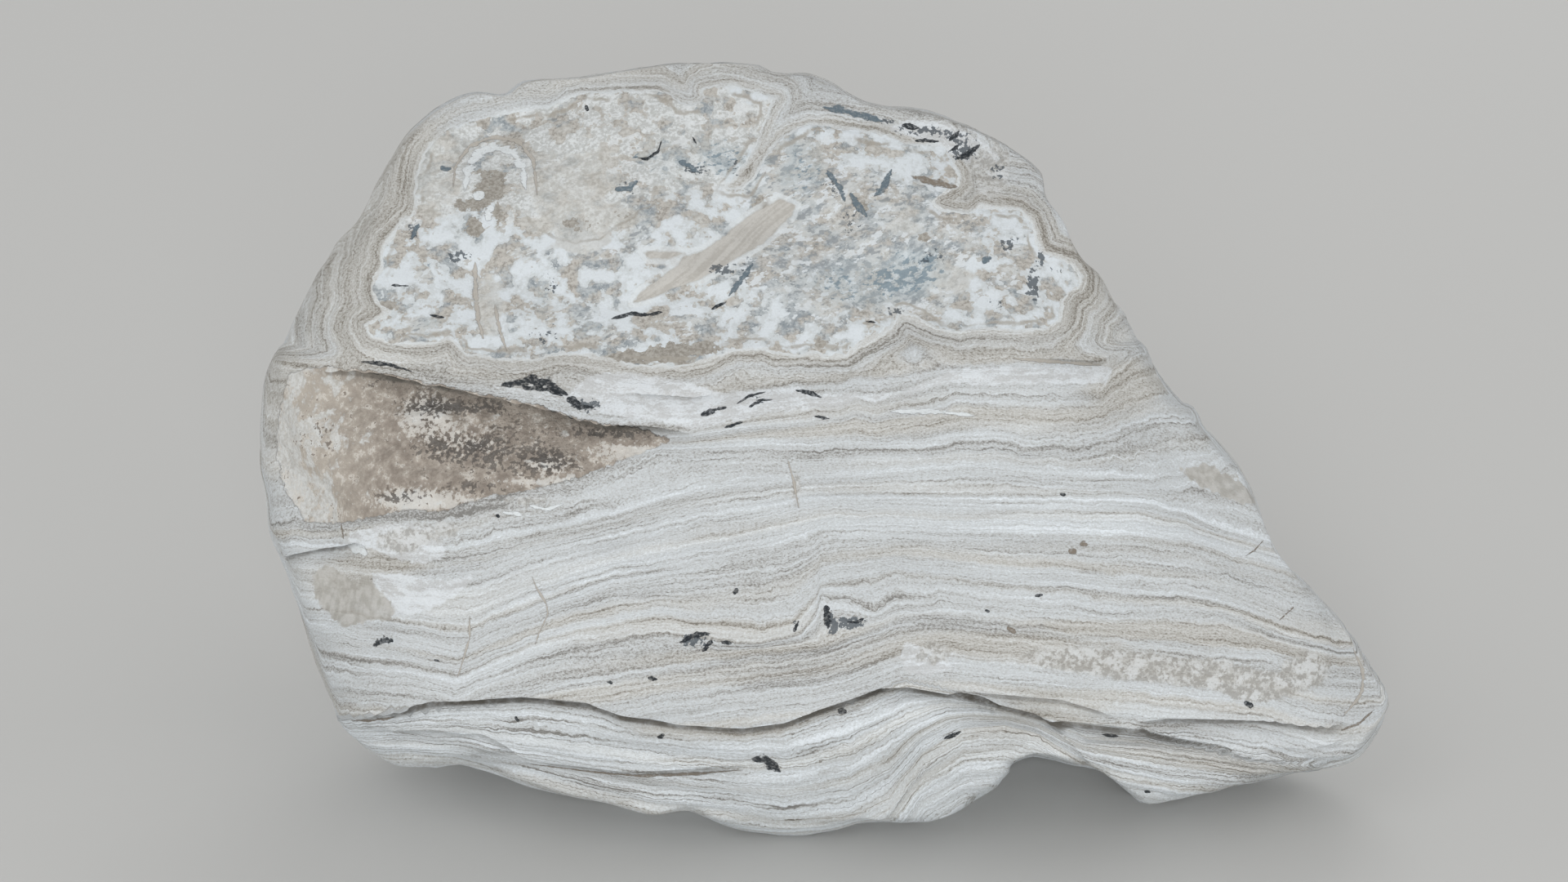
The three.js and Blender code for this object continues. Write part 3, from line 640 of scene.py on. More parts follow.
# Soft zones of the face by kind: (a, b, radius along a, radius along b, amount).
ZONES = {
    "beige": [
        (-53.4, 60.4, 14, 13, 0.65), (-48.6, 53.6, 5, 3, 0.7), (-40.2, 55, 4.5, 2.4, 0.7),
        (-49, 48.8, 7, 2.6, 0.8), (40.2, 40, 8, 4.5, 0.7), (-40, 74, 12, 7, 0.3),
        (-82, 60, 6, 8, 0.5), (-8, 36, 9, 5, 0.25), (-72, 33, 4, 9, 0.7), (-80, 72, 9, 3, 0.4),
        (26, 70, 7, 3, 0.3), (-24, 52, 9, 4, 0.35), (30, 54, 8, 5, 0.4), (20, 6, 70, 6, 0.4),
        (-124, 4, 6, 24, 0.8), (-112, 42, 12, 34, 0.6), (-98, 68, 12, 18, 0.6),
        (-10, -48, 50, 8, 0.5), (84, 14, 9, 6, 0.8), (78, 42, 8, 24, 0.6), (-50, 90, 50, 5, 0.3),
        (-20, -72, 26, 3, 0.6), (66, -66, 14, 3, 0.7), (60, -48, 30, 3, 0.8),
        (-100, -30, 12, 8, 0.7), (96, -48, 34, 5, 0.5),
    ],
    "blue": [
        (-27, 68, 17, 9, 0.5), (4.4, 66, 8, 9, 0.7), (16.8, 38.4, 13, 6.5, 0.8),
        (32, 41.8, 9, 7, 1), (-59, 35, 3, 6, 0.6), (-12, 70, 8, 7, 0.5), (-88, 42, 5, 4, 0.4),
        (-86, 29, 5, 3, 0.5), (-47, 28, 6, 5, 0.45),
    ],
    "brown": [
        (-71.6, 62.4, 4.5, 5.5, 0.8), (-77.6, 57.8, 4.5, 2, 0.7), (-75.8, 52.4, 2.4, 3, 0.8),
        (-70, 54.6, 1.2, 2.6, 0.7), (-38, 20.4, 6.4, 2, 1), (-27.2, 21.4, 5.4, 2.9, 1),
        (-19.2, 22.6, 4, 1.8, 0.9), (34.2, 49.8, 1.6, 1.6, 0.7), (-6, 58, 2.6, 2.2, 0.9),
        (-50.6, 53.2, 6, 2.4, 0.5), (-37.9, 55.2, 4, 1.6, 0.5), (-97, 33, 3, 2, 0.7),
        (20, 58, 3, 2.4, 0.5), (9, 23.6, 2.2, 2, 0.6), (8, 76, 4, 1.2, 0.5),
    ],
    "grey": [
        (-88.2, 28.4, 5, 2.8, 0.9), (-87.8, 40.2, 3.4, 2, 0.8), (-49.8, 31.4, 4, 2.8, 0.9),
        (-41, 25.2, 4.4, 2.2, 0.9), (-45.8, 45.6, 7, 1.6, 0.9), (-24, 28.8, 6.5, 3, 0.8),
        (-35.8, 50.6, 5, 4, 0.8), (54.8, 40.8, 3.4, 3.2, 0.9), (57.4, 46.8, 4, 1.8, 0.8),
        (4, 58, 15, 12, 1), (22, 50, 22, 15, 1), (2, 68, 9, 7, 0.9), (-2, 44, 9, 6, 0.7),
        (16, 40, 22, 9, 1), (-64, 47, 5, 4, 0.6), (-58, 36, 4, 8, 0.5), (4, 31, 8, 3, 0.5),
        (-8, 26, 4, 2.4, 0.5), (36, 52, 14, 8, 0.7), (34, 38, 9, 8, 0.7),
    ],
    "stain": [
        (68, -53, 12, 3, 0.8), (84, -55, 14, 3.6, 0.9), (102, -57, 13, 3.6, 1),
        (116, -60.4, 9, 4, 1), (128, -56, 6, 5, 0.9), (-94, -24.6, 7, 3.2, 0.8),
        (-84, -22, 9, 3, 0.5), (36, -52, 5, 4, 0.6), (-62, -15, 9, 2, 0.5), (50, 66, 7, 9, 0.6),
        (2.8, -12, 1.6, 5, 0.7),
    ],
    "dark": [
        (61, 38, 1.6, 4.4, 1), (63, 44.6, 1.4, 3, 0.8), (67, 41.6, 2.6, 1.2, 0.6),
        (52, 33.8, 2, 1.2, 0.8), (44, 70.6, 3.6, 2.6, 0.9), (34, 76, 7, 1.4, 0.8),
        (42, 74.6, 5, 2, 0.6), (52, 66, 2.4, 3, 0.7), (24, 78.6, 4, 1.2, 0.7),
        (-21.4, 66.4, 3, 1.6, 0.8), (-12, 67, 1.6, 2, 0.7), (-38, 62.6, 3.4, 2, 0.5),
        (-80, 45.2, 3.2, 1.8, 0.9), (-91, 51, 1.6, 3, 0.8), (-15, 42, 4, 1.6, 0.9),
        (-9.4, 42, 2, 4, 0.4), (-58.6, 26, 3.4, 3, 0.6), (-57, 38, 3, 3, 0.6),
        (27, 31.6, 3, 1, 0.9), (36, 45, 4, 3, 0.6), (16, 54, 4, 3, 0.5), (12, 62, 2.4, 3.4, 0.6),
        (55, 48.4, 3, 2, 0.8), (-48, 8.6, 4, 1.6, 0.9), (-6, 10, 3.4, 1.2, 0.6),
        (-21.6, -49, 4.4, 2, 0.8), (11.6, -44.4, 1.4, 3.6, 0.8), (16, -44.6, 3.8, 2, 0.95),
        (3, -45.4, 1.4, 1.8, 0.6),
    ],
    # Soot on the tread; along its top edge, under the lip, it is partly painted shadow.
    "soot": [
        (-98, 15, 5, 2.6, 0.8), (-76, 8.6, 13, 2.2, 1), (-88, 8, 7, 6, 0.7), (-66, 1, 11, 5, 0.6),
        (-82, -2, 12, 4, 0.9), (-94, -13.4, 7, 2.2, 0.9), (-76, -11.4, 11, 2, 0.8),
        (-56, -5, 7, 4, 0.9), (-46, 2, 9, 1.8, 1), (-36, 1.8, 8, 1.4, 1), (-113, 2, 6, 6, 0.35),
        (-68, -6, 12, 3, 0.6),
    ],
    "pale": [
        (-88, 6, 8, 7, 0.8), (-113, 2, 11, 7, 0.3), (-90, -14, 13, 3, 0.8), (-38, -2.6, 11, 2.6, 1),
        (-82, -15.4, 16, 1.6, 0.7), (-60, -10, 12, 1.4, 0.7), (-76, 1, 9, 5, 0.5),
        (-58, -6, 8, 3, 0.5), (-60, 2, 10, 4, 0.25), (-120, -13, 4, 6, 0.6),
    ],
    # Zones where the painted crease shade and dirt is kept faint.
    "clean": [
        (-62, 9, 17, 5, 0.9), (-108, 17, 7, 5, 0.5),
    ],
    # Painted shade: these zones darken the tone where the stone lies in shade, below the tread, the
    # creases and the notch.
    "dim": [
        (88, -75, 22, 5, 1), (-38, -84, 26, 4, 0.9), (34, -84, 12, 8, 0.4), (-62, -19, 40, 6, 0.5),
        (-84, -32, 20, 8, 0.4), (4, -56, 44, 8, 0.4), (114, -81, 20, 5, 0.9), (56, -70, 12, 6, 0.7),
        (140, -68, 8, 8, 0.5),
    ],
}

# Streaks by colour: (half width, points (a, b) along it).
STREAKS = {
    "black": [
        (0.6, (28.8, 77.4), (33.4, 76.6)), (0.9, (42.2, 69.2), (44.6, 70.2), (48, 72.6)),
        (0.5, (40.6, 71), (43, 72.6)), (0.5, (32, 73.6), (38, 73.4)), (0.5, (40.4, 73.6), (43, 76)),
        (0.3, (-22.4, 74.4), (-21.4, 72.6)),
        (0.35, (-36.8, 69.6), (-33.6, 69), (-30.8, 71), (-30, 73.6)),
        (0.4, (-96.2, 38.2), (-91.8, 38)), (0.35, (-86.8, 30.9), (-83.2, 30.3)),
        (0.6, (-42.4, 29.8), (-38, 31.2), (-34, 30.8), (-29.6, 31.4)),
        (0.4, (-48.6, 82.2), (-48, 80.8)), (0.35, (-17.8, 32.2), (-14, 34.2)),
        # The second streak on the next line lies along the tread's lip: partly painted shadow under
        # the lip, partly dirt.
        (0.35, (19.8, 29.2), (22.4, 28.8)), (0.5, (-103.6, 19.4), (-97, 18.8), (-91, 17)),
        (1.3, (-69.4, 13.6), (-62, 15), (-57.6, 14), (-52.8, 11.2)),
        (0.7, (-64, 13), (-58, 12.6), (-54, 11)), (1.2, (-53.2, 10.6), (-50, 8.6), (-46.4, 8.2)),
        (0.7, (-20.4, 6.2), (-17, 7.6), (-14, 8.2)), (0.45, (-8.6, 8.2), (-5.6, 10), (-2.8, 10)),
        (0.35, (-11.6, 9), (-8.4, 11), (-4.4, 12)), (0.6, (2.8, 12.4), (6, 11.8), (9.2, 10.6)),
        (0.45, (-14.6, 3.2), (-10, 4.6)), (0.35, (7.4, 6), (11.2, 5.4)),
        (0.8, (-100.8, -50.2), (-98.4, -48.8), (-95.6, -49)), (0.4, (-85.8, -53.6), (-84.2, -54)),
        (0.7, (-25.6, -49.4), (-22, -47.6), (-18, -47.2)), (0.7, (-20, -51.6), (-17.6, -48.8)),
        (0.5, (-15.4, -49.2), (-12.8, -49.6)), (0.6, (-33.4, -58), (-31, -58.4)),
        (0.45, (-43.4, -59), (-42, -59.4)), (1, (10.2, -40.2), (10.6, -43), (10.8, -46)),
        (0.4, (15.4, -44.2), (17.6, -44.4), (19.6, -43.4)), (0.5, (3.6, -44), (2.4, -46.8)),
        (0.5, (-12.2, -37.6), (-11.4, -36)), (0.55, (-65.8, -67.4), (-65, -68.8)),
        (0.6, (-31, -72.2), (-29.2, -71.6)), (0.8, (13.2, -65.8), (15.4, -66.4)),
        (1.3, (-8, -77.8), (-4.4, -78.2), (-0.8, -81.2)), (0.6, (39.2, -73.2), (43.6, -71.4)),
        (0.4, (77.8, -71.8), (82, -72.2)), (0.5, (88.2, -86), (89.8, -86.2)),
        (0.7, (112.6, -64), (115, -65)), (0.5, (61.4, -38), (63.4, -37.6)),
        (0.5, (49.2, -41.4), (50.4, -41.8)), (0.4, (67.6, -13), (69, -13.2)),
        (0.4, (-70.4, -18), (-69.6, -18.8)),
    ],
    "blue": [
        (1, (9.4, 81.8), (16, 80.6), (24.4, 78.2)),
        (0.8, (-41.4, 61.6), (-38, 61.8), (-35.8, 63.8)),
        (0.8, (-25.8, 68.6), (-23, 67.2), (-20.6, 65.6)), (0.8, (-84.2, 67), (-81.4, 66.6)),
        (0.6, (-91.2, 49.4), (-89.4, 53.2)), (0.7, (-7.6, 43.6), (-10.4, 39.4), (-13.6, 35.4)),
        (0.7, (10.4, 66.6), (13.2, 62.8), (15, 58.6)),
        (0.9, (16.2, 60.8), (18, 57.6), (20.4, 54.8)), (0.8, (22, 60), (24.6, 62.4), (26.4, 66.6)),
        (0.9, (48.6, 43.6), (50.8, 45)),
    ],
    "brown": [
        (1, (31, 65), (37, 63.2), (42.6, 62.2)),
        # The next streak is painted shadow: a thin dark line along the lower crease.
        (0.35, (-64, -79.4), (-50, -81), (-34, -81.8), (-20, -81.4), (-10, -80.8)),
        (0.9, (69.6, -27.2), (71.6, -26.6)), (0.6, (72.4, -25.2), (74.4, -25.4)),
        (0.8, (54.6, -45.6), (56.8, -47)), (0.3, (-108.2, -20), (-107.8, -24)),
        (0.17, (113, -28.2), (115.4, -26.6), (117.6, -24.2)),
        (0.17, (121.2, -44), (122.8, -42.6), (125.4, -40.2)),
        (0.4, (-106, -68.6), (-100, -68.4), (-95, -67.6)),
        (0.3, (136, -71), (141, -69.2), (144.8, -65.6)),
    ],
    "white": [
        (0.7, (25.8, 7.2), (36, 7.2), (47, 6.2)), (1.1, (-106.6, -25.4), (-102, -27.8)),
        (0.5, (-62.4, -15.8), (-58, -16.8), (-54, -15.4)), (0.6, (-68.8, -17.4), (-64, -18.2)),
        (1.3, (-78.2, 61), (-77.6, 66), (-75, 70), (-70.8, 72), (-66.4, 70.8), (-64, 67),
         (-63.2, 61.4)),
        (1.3, (-75.8, 59.2), (-74.6, 60.4), (-73.4, 61)),
        (1.1, (-72.8, 54), (-72.2, 56), (-71.2, 57.6)),
    ],
    "tan": [
        (0.45, (56, 20.2), (64, 19.6), (78, 18.6)),
        (0.25, (-61.8, -33), (-60.6, -36), (-59.2, -38.2), (-58.2, -40), (-57.8, -42.4),
         (-59, -45), (-60, -47), (-61, -50)),
        (0.3, (-77, -42.6), (-77, -48.4), (-78.4, -53), (-80, -58)),
        (0.5, (-81, 62), (-80.6, 67), (-77, 72.4), (-71, 74.6), (-65, 73.4), (-61.4, 69),
         (-60.4, 60)),
        (0.7, (-75.6, 44), (-75.6, 36), (-75, 30), (-73.6, 25)),
        (0.5, (-70.8, 33.4), (-69.6, 27), (-67.8, 22)),
        (0.4, (137, -67.4), (141.5, -62.2), (141.9, -56.5), (139.5, -50.7)),
        (0.3, (1, -4.6), (2.4, -10), (3.6, -16.4)),
    ],
}
STREAK_MARGIN = 1.6  # mm around a streak in which its own coordinates are kept
STREAK_LAYERS = 4
CLEAR_ACROSS = 9  # the distance across, in half widths, where no streak is near
# Where the colours lie on the ramp of inks.
STREAK_TONES = {name: k / (len(STREAKS) - 1) for k, name in enumerate(STREAKS)}


# ---- Where each vertex lies among the beds, patches, zones and streaks -------------------------

def bed_between(horizons, a, b):
    """Bedding coordinate between horizons that are listed from the top down."""
    beds = list(horizons)
    levels = []
    for line in horizons.values():
        level = np.interp(a, *columns(line))
        levels.append(np.minimum(level, levels[-1] - LEAST_BED) if levels else level)
    result = beds[0] + (b - levels[0])
    for i in range(1, len(beds)):
        share = (levels[i - 1] - b) / (levels[i - 1] - levels[i])
        result = np.where(b < levels[i - 1], lerp(beds[i - 1], beds[i], share), result)
    return np.where(b < levels[-1], beds[-1] + (b - levels[-1]), result)


def bedding_field(a, b, w, facing, mottled):
    """Bedding coordinate over the whole stone, in mm of thickness."""
    face_bed = bed_between(HORIZONS, a, b)
    top = np.interp(a, *columns(HORIZONS[TOP_HORIZON]))
    face_bed = lerp(face_bed, mottled, smoothstep(b - top, -3, 3))
    crease = np.interp(a, *columns(UNDER_HORIZONS[CREASE_HORIZON]))
    face_bed = np.where(b < crease, bed_between(UNDER_HORIZONS, a, b), face_bed)
    deep_bed = b - 20 + 0.6 * (w - 45) + 4 * noise(a / 60 + 4, b / 40 + 2, w / 50)
    return lerp(face_bed, deep_bed, smoothstep(-facing, -0.12, 0.2))


def distance_inside(polygon, a, b):
    """Signed distance to a polygon's edge, positive inside."""
    points = np.array(polygon, float)
    nearest = np.full(len(a), np.inf)
    crossings = np.zeros(len(a), int)
    for (a0, b0), (a1, b1) in zip(points, np.roll(points, -1, axis=0)):
        da, db = a1 - a0, b1 - b0
        t = np.clip(((a - a0) * da + (b - b0) * db) / (da * da + db * db), 0, 1)
        nearest = np.minimum(nearest, np.hypot(a - a0 - t * da, b - b0 - t * db))
        if b0 != b1:
            crossings += ((b0 > b) != (b1 > b)) & (a < (b - b0) / db * da + a0)
    return np.where(crossings % 2 == 1, nearest, -nearest)


def along_streak(points, a, b):
    """Share of the way along a streak (past its ends too), distance across it, and gap to it."""
    points = np.array(points, float)
    parts = np.diff(points, axis=0)
    lengths = np.hypot(parts[:, 0], parts[:, 1])
    nearest = np.full(len(a), np.inf)
    along, across = np.zeros(len(a)), np.zeros(len(a))
    run = 0.0
    for i, ((a0, b0), (da, db), length) in enumerate(zip(points, parts, lengths)):
        t = ((a - a0) * da + (b - b0) * db) / length
        low = -np.inf if i == 0 else 0
        high = np.inf if i == len(parts) - 1 else length
        bounded = np.clip(t, 0, length)
        gap = np.hypot(a - a0 - bounded * da / length, b - b0 - bounded * db / length)
        closer = gap < nearest
        nearest = np.where(closer, gap, nearest)
        along = np.where(closer, (run + np.clip(t, low, high)) / lengths.sum(), along)
        across = np.where(closer, ((b - b0) * da - (a - a0) * db) / length, across)
        run += length
    return along, across, nearest


def streak_layers(a, b, front_side):
    """Layers of (along, across, tone, near), in which no two streaks lie close together."""
    layers = np.zeros((STREAK_LAYERS, len(a), 4), np.float32)
    layers[:, :, 1] = CLEAR_ACROSS
    taken = np.zeros((STREAK_LAYERS, len(a)), bool)
    streaks = [(colour, streak) for colour, rows in STREAKS.items() for streak in rows]
    for colour, (half_width, *points) in streaks:
        along, across, gap = along_streak(points, a, b)
        near = front_side & (gap < half_width + STREAK_MARGIN)
        around = front_side & (gap < half_width + 2 * STREAK_MARGIN)
        layer = [(taken[k] & around).any() for k in range(STREAK_LAYERS)].index(False)
        taken[layer] |= near
        tone = np.full(len(a), STREAK_TONES[colour])
        marks = np.stack([along, across / half_width, tone, np.ones(len(a))], 1)
        layers[layer, near] = marks[near]
    return layers


def zone_amount(kind, a, b):
    amount = np.zeros(len(a))
    for at_a, at_b, radius_a, radius_b, strength in ZONES[kind]:
        away = ((a - at_a) / radius_a) ** 2 + ((b - at_b) / radius_b) ** 2
        amount += strength * np.exp(-away ** 1.5)
    return np.clip(amount, 0, 1)


def surface_fields(a, b, w, facing, marks):
    """Everything that the relief and the material read at each vertex, by name."""
    front_side = facing > MARKED_FACING
    mottled = distance_inside(MOTTLED_BED, a, b)
    fields = {
        "bed": bedding_field(a, b, w, facing, mottled),
        "mottled": np.where(front_side, mottled, OFF_THE_FACE),
    }
    for name, outlines in PATCHES.items():
        inside = np.max([distance_inside(outline, a, b) for outline in outlines], axis=0)
        fields[name] = np.where(front_side, inside, OFF_THE_FACE)
    for name, values in marks.items():
        fields[name] = values * front_side
    for kind in ZONES:
        fields["zone_" + kind] = zone_amount(kind, a, b) * smoothstep(facing, -0.4, 0)
    for k, layer in enumerate(streak_layers(a, b, front_side)):
        fields[f"streaks_{k}"] = layer
    return fields


# ---- Fine relief -------------------------------------------------------------------------------

def laid_relief(a, b, w, bed, facing):
    """Low ridges along the laminae, stronger at the bottom and towards the rim."""
    relief = 0.3 * noise(bed / 4.2 + 5, a / 55, w / 70) + 0.2 * noise(bed / 1.9, a / 38, w / 60)
    low = smoothstep(-bed, 84, 92) * smoothstep(-b, 50, 62)
    relief += low * (0.5 * noise(bed / 3.4 + 2, a / 30, w / 40) + 0.3 * noise(bed / 1.7, a / 16, 3))
    return relief * (1.9 - 0.9 * smoothstep(facing, 0.15, 0.45))


def fine_relief(a, b, w, facing, fields):
    """Height that weathering adds along the normal, in mm."""
    bed = fields["bed"]
    laid = laid_relief(a, b, w, bed, facing)
    rough = 0.25 * noise(a / 7.5, b / 7.5, w / 7.5) + 0.14 * noise(a / 3.1 + 9, b / 3.1, w / 3.1)
    relief = lerp(laid, rough, smoothstep(fields["mottled"], -0.3, 0.3))
    broken = 0.55 * noise(a / 4.2, b / 3, 1) + 0.4 * noise(a / 2.1, b / 1.9, 4)
    relief = lerp(relief, broken, smoothstep(fields["tread"], -0.4, 0.8))
    behind = (
        0.9 * noise(bed / 4.6 + 2, a / 40, w / 50)
        + 0.5 * noise(bed / 2.2 + 7, a / 24, w / 30)
        + 0.4 * noise(a / 5, b / 5, w / 5)
    )
    return lerp(behind, relief, smoothstep(facing, -0.05, 0.15))


# ---- Mesh --------------------------------------------------------------------------------------

SHARP_ANGLE = math.radians(50)
FRONT_CHART = (0.01, 0.31), (0.99, 0.99)  # corners of the front's part of the OFBake map
BACK_CHART = (0.01, 0.01), (0.99, 0.29)
CHART_SPREAD = 0.7  # how far a chart spreads outwards per mm of the way down the walls


def vertex_normals(points, triangles):
    p, q, r = (points[triangles[:, i]] for i in range(3))
    face = np.cross(q - p, r - p)
    normals = np.zeros_like(points)
    for i in range(3):
        np.add.at(normals, triangles[:, i], face)
    return normals / np.linalg.norm(normals, axis=1, keepdims=True)


def stand_up(a, b, w):
    """From the face frame to the finished part's frame, in mm."""
    narrowing = 1 - w / TAPER_DISTANCE
    sine, cosine = math.sin(FACE_LEAN), math.cos(FACE_LEAN)
    x, y, z = a * narrowing, -w, b * narrowing
    return np.stack([x, y * cosine + z * sine, z * cosine - y * sine], 1) + FACE_CENTRE


def fit_in_box(points):
    """Keeps the mesh inside the CAD box and cuts it flat on the ground."""
    low, high = (np.array(corner) / MM for corner in CAD_BOX)
    return np.clip(points, low, high)


def chart(a, b, angle, drop):
    """Flat coordinates around CORE that grow with the way down the walls too."""
    radius = np.hypot(a - CORE[0], b - CORE[1]) + CHART_SPREAD * np.maximum(drop, 0)
    return np.stack([radius * np.cos(angle), radius * np.sin(angle)], 1)


def bake_layout(triangles, a, b, w, angle, facing):
    """Two charts for the OFBake map: the front takes the upper two thirds."""
    in_front = facing[triangles].mean(1) > 0
    layout = np.zeros((len(triangles), 3, 2))
    for chosen, drop, (low, high) in (
        (in_front, plane_depth(FRONT_PLANES, a, b) - w, FRONT_CHART),
        (~in_front, plane_depth(BACK_PLANES, a, b) + w, BACK_CHART),
    ):
        corners = chart(a, b, angle, drop)[triangles[chosen]]
        least, most = corners.min((0, 1)), corners.max((0, 1))
        share = (corners - least) / (most - least)
        layout[chosen] = np.array(low) + share * (np.array(high) - np.array(low))
    return layout.reshape(-1, 2)


def add_attribute(mesh, name, values):
    kind, key = ("FLOAT_COLOR", "color") if values.ndim == 2 else ("FLOAT", "value")
    attribute = mesh.attributes.new(name, kind, "POINT")
    attribute.data.foreach_set(key, values.astype(np.float32).ravel())


def mesh_from(name, points, triangles):
    mesh = bpy.data.meshes.new(name)
    mesh.vertices.add(len(points))
    mesh.vertices.foreach_set("co", (points * MM).astype(np.float32).ravel())
    mesh.loops.add(triangles.size)
    mesh.loops.foreach_set("vertex_index", triangles.astype(np.int32).ravel())
    mesh.polygons.add(len(triangles))
    mesh.polygons.foreach_set("loop_start", np.arange(0, triangles.size, 3, dtype=np.int32))
    mesh.update(calc_edges=True)
    mesh.validate()
    mesh.shade_smooth()
    mesh.set_sharp_from_angle(angle=SHARP_ANGLE)
    return mesh


def add_object(name, data):
    thing = bpy.data.objects.new(name, data)
    bpy.context.scene.collection.objects.link(thing)
    return thing


def make_stone():
    directions, triangles = sphere_directions()
    facing = directions[:, 2]
    a, b, w, angle, marks = stone_surface(directions)
    fields = surface_fields(a, b, w, facing, marks)
    points = stand_up(a, b, w)
    relief = fine_relief(a, b, w, facing, fields)
    points += vertex_normals(points, triangles) * relief[:, None]
    mesh = mesh_from("stone_skin", fit_in_box(points), triangles)
    for name, values in fields.items():
        add_attribute(mesh, name, values)
    layout = bake_layout(triangles, a, b, w, angle, facing)
    uv = mesh.uv_layers.new(name="OFBake")
    uv.data.foreach_set("uv", layout.astype(np.float32).ravel())
    return add_object("stone_skin", mesh)


# ---- Shader graph ------------------------------------------------------------------------------

NOISE_STRIDE = (117.0, 53.0, 91.0)  # how far apart the noises of two seeds are read
MIX_SOCKETS = {"FLOAT": (2, 3, 0), "RGBA": (6, 7, 2)}  # a Mix node's inputs A and B, and its output


class Value:
    """A value in a shader graph, with the usual arithmetic."""

    def __init__(self, graph, socket):
        self.graph = graph
        self.socket = socket

    def __add__(self, other):
        return self.graph.math("ADD", self, other)

    def __sub__(self, other):
        return self.graph.math("SUBTRACT", self, other)

    def __mul__(self, other):
        return self.graph.math("MULTIPLY", self, other)

    __radd__ = __add__

    def __rsub__(self, other):
        return self.graph.math("SUBTRACT", other, self)

    def __abs__(self):
        return self.graph.math("ABSOLUTE", self)


class Graph:
    """Builds the nodes of one material."""

    def __init__(self, tree):
        self.tree = tree

    def node(self, kind, *values, **settings):
        """A node with its first inputs fed."""
        made = self.tree.nodes.new(kind)
        for name, value in settings.items():
            setattr(made, name, value)
        for socket, value in zip(made.inputs, values):
            self.feed(socket, value)
        return made

    def feed(self, socket, value):
        if isinstance(value, Value):
            self.tree.links.new(value.socket, socket)
        else:
            socket.default_value = value

    def math(self, operation, *values):
        made = self.node("ShaderNodeMath", *values, operation=operation)
        return Value(self, made.outputs[0])

    def attribute(self, name, output="Fac"):
        made = self.node("ShaderNodeAttribute", attribute_name=name)
        return Value(self, made.outputs[output])

    def place(self):
        """Position on the object, in mm."""
        at = self.node("ShaderNodeTexCoord")
        made = self.node(
            "ShaderNodeVectorMath", Value(self, at.outputs["Object"]), operation="SCALE")
        self.feed(made.inputs["Scale"], 1 / MM)
        return Value(self, made.outputs[0])

    def parts(self, vector, kind="ShaderNodeSeparateXYZ"):
        return [Value(self, output) for output in self.node(kind, vector).outputs]

    def vector(self, x, y, z):
        return Value(self, self.node("ShaderNodeCombineXYZ", x, y, z).outputs[0])

    def moved(self, vector, seed):
        """The vector, moved far enough that noise there is a pattern of its own."""
        step = tuple(stride * seed for stride in NOISE_STRIDE)
        made = self.node("ShaderNodeVectorMath", vector, step, operation="ADD")
        return Value(self, made.outputs[0])

    def noise(self, vector, size=1.0, detail=2.0, roughness=0.5, seed=0):
        """Noise from 0 to 1."""
        place = self.moved(vector, seed) if seed else vector
        unused_w = 0.0
        made = self.node("ShaderNodeTexNoise", place, unused_w, 1 / size, detail, roughness)
        return Value(self, made.outputs["Fac"])

    def sway(self, *settings, **seed):
        """The same noise from -0.5 to 0.5."""
        return self.noise(*settings, **seed) - 0.5

    def smooth(self, value, low, high):
        """0 below low, 1 above high, eased between."""
        made = self.node("ShaderNodeMapRange", value, low, high, interpolation_type="SMOOTHSTEP")
        return Value(self, made.outputs["Result"])

    def line(self, value, core, edge):
        """1 where the value is within core of 0, eased to 0 at edge on either side."""
        return 1 - self.smooth(abs(value), core, edge)

    def ramp(self, value, stops):
        made = self.node("ShaderNodeValToRGB", value)
        elements = made.color_ramp.elements
        while len(elements) < len(stops):
            elements.new(0.5)
        for element, (at, colour) in zip(elements, stops):
            element.position = at
            element.color = colour
        return Value(self, made.outputs[0])

    def mix(self, factor, under, over, kind="RGBA"):
        """Colour (or number) over, laid on the one under it."""
        first, second, output = MIX_SOCKETS[kind]
        made = self.node("ShaderNodeMix", factor, data_type=kind)
        self.feed(made.inputs[first], under)
        self.feed(made.inputs[second], over)
        return Value(self, made.outputs[output])

    def fade(self, value, low, high, first, last):
        """The first colour where the value is below low, the last above high."""
        return self.mix(self.smooth(value, low, high), first, last)


def colour(red, green, blue):
    """Linear colour of an 8-bit screen colour."""
    def linear(level):
        level = level / 255
        return level / 12.92 if level < 0.04045 else ((level + 0.055) / 1.055) ** 2.4
    return (linear(red), linear(green), linear(blue), 1)


def grey(level):
    return (level, level, level, 1)


# ---- Laminae -----------------------------------------------------------------------------------

# Colours of the laminae, from the darkest hairline (0) to the whitest bed (1).
LAMINA_TONES = (0.0, 0.2, 0.4, 0.55, 0.75, 1.0)
COOL_LAMINAE = (
    colour(126, 125, 122), colour(164, 164, 162), colour(188, 191, 192),
    colour(194, 198, 200), colour(203, 208, 211), colour(220, 226, 231),
)
WARM_LAMINAE = (
    colour(120, 115, 107), colour(160, 157, 150), colour(184, 183, 179),
    colour(193, 193, 190), colour(203, 205, 204), colour(218, 222, 223),
)

# Tone of the beds down the face: (bedding coordinate, tone). 1 is white and 0 dark.
BED_TONES = [
    # The dip to 0.45 at -88.2, just under the main crease, is painted shade.
    (-120, 0.66), (-91, 0.62), (-88.2, 0.45), (-86, 0.68), (-79, 0.6), (-70, 0.42), (-66, 0.44),
    (-62.2, 0.52), (-61.5, 0.2), (-60.9, 0.62), (-58.8, 0.64), (-58, 0.14), (-57.2, 0.56),
    (-52, 0.52), (-46.8, 0.5), (-46, 0.3), (-45.3, 0.72), (-40, 0.62), (-36.6, 0.58), (-36, 0.95),
    (-35.2, 0.54), (-30, 0.5), (-29, 0.95), (-28.2, 0.46), (-24.5, 0.46), (-24, 0.25),
    (-23.3, 0.6), (-14, 0.46), (-6, 0.44), (-1.6, 0.36), (0, 0.8), (1.5, 0.56),
]
BED_MIDDLE = 0.56  # the tone that the beds vary about


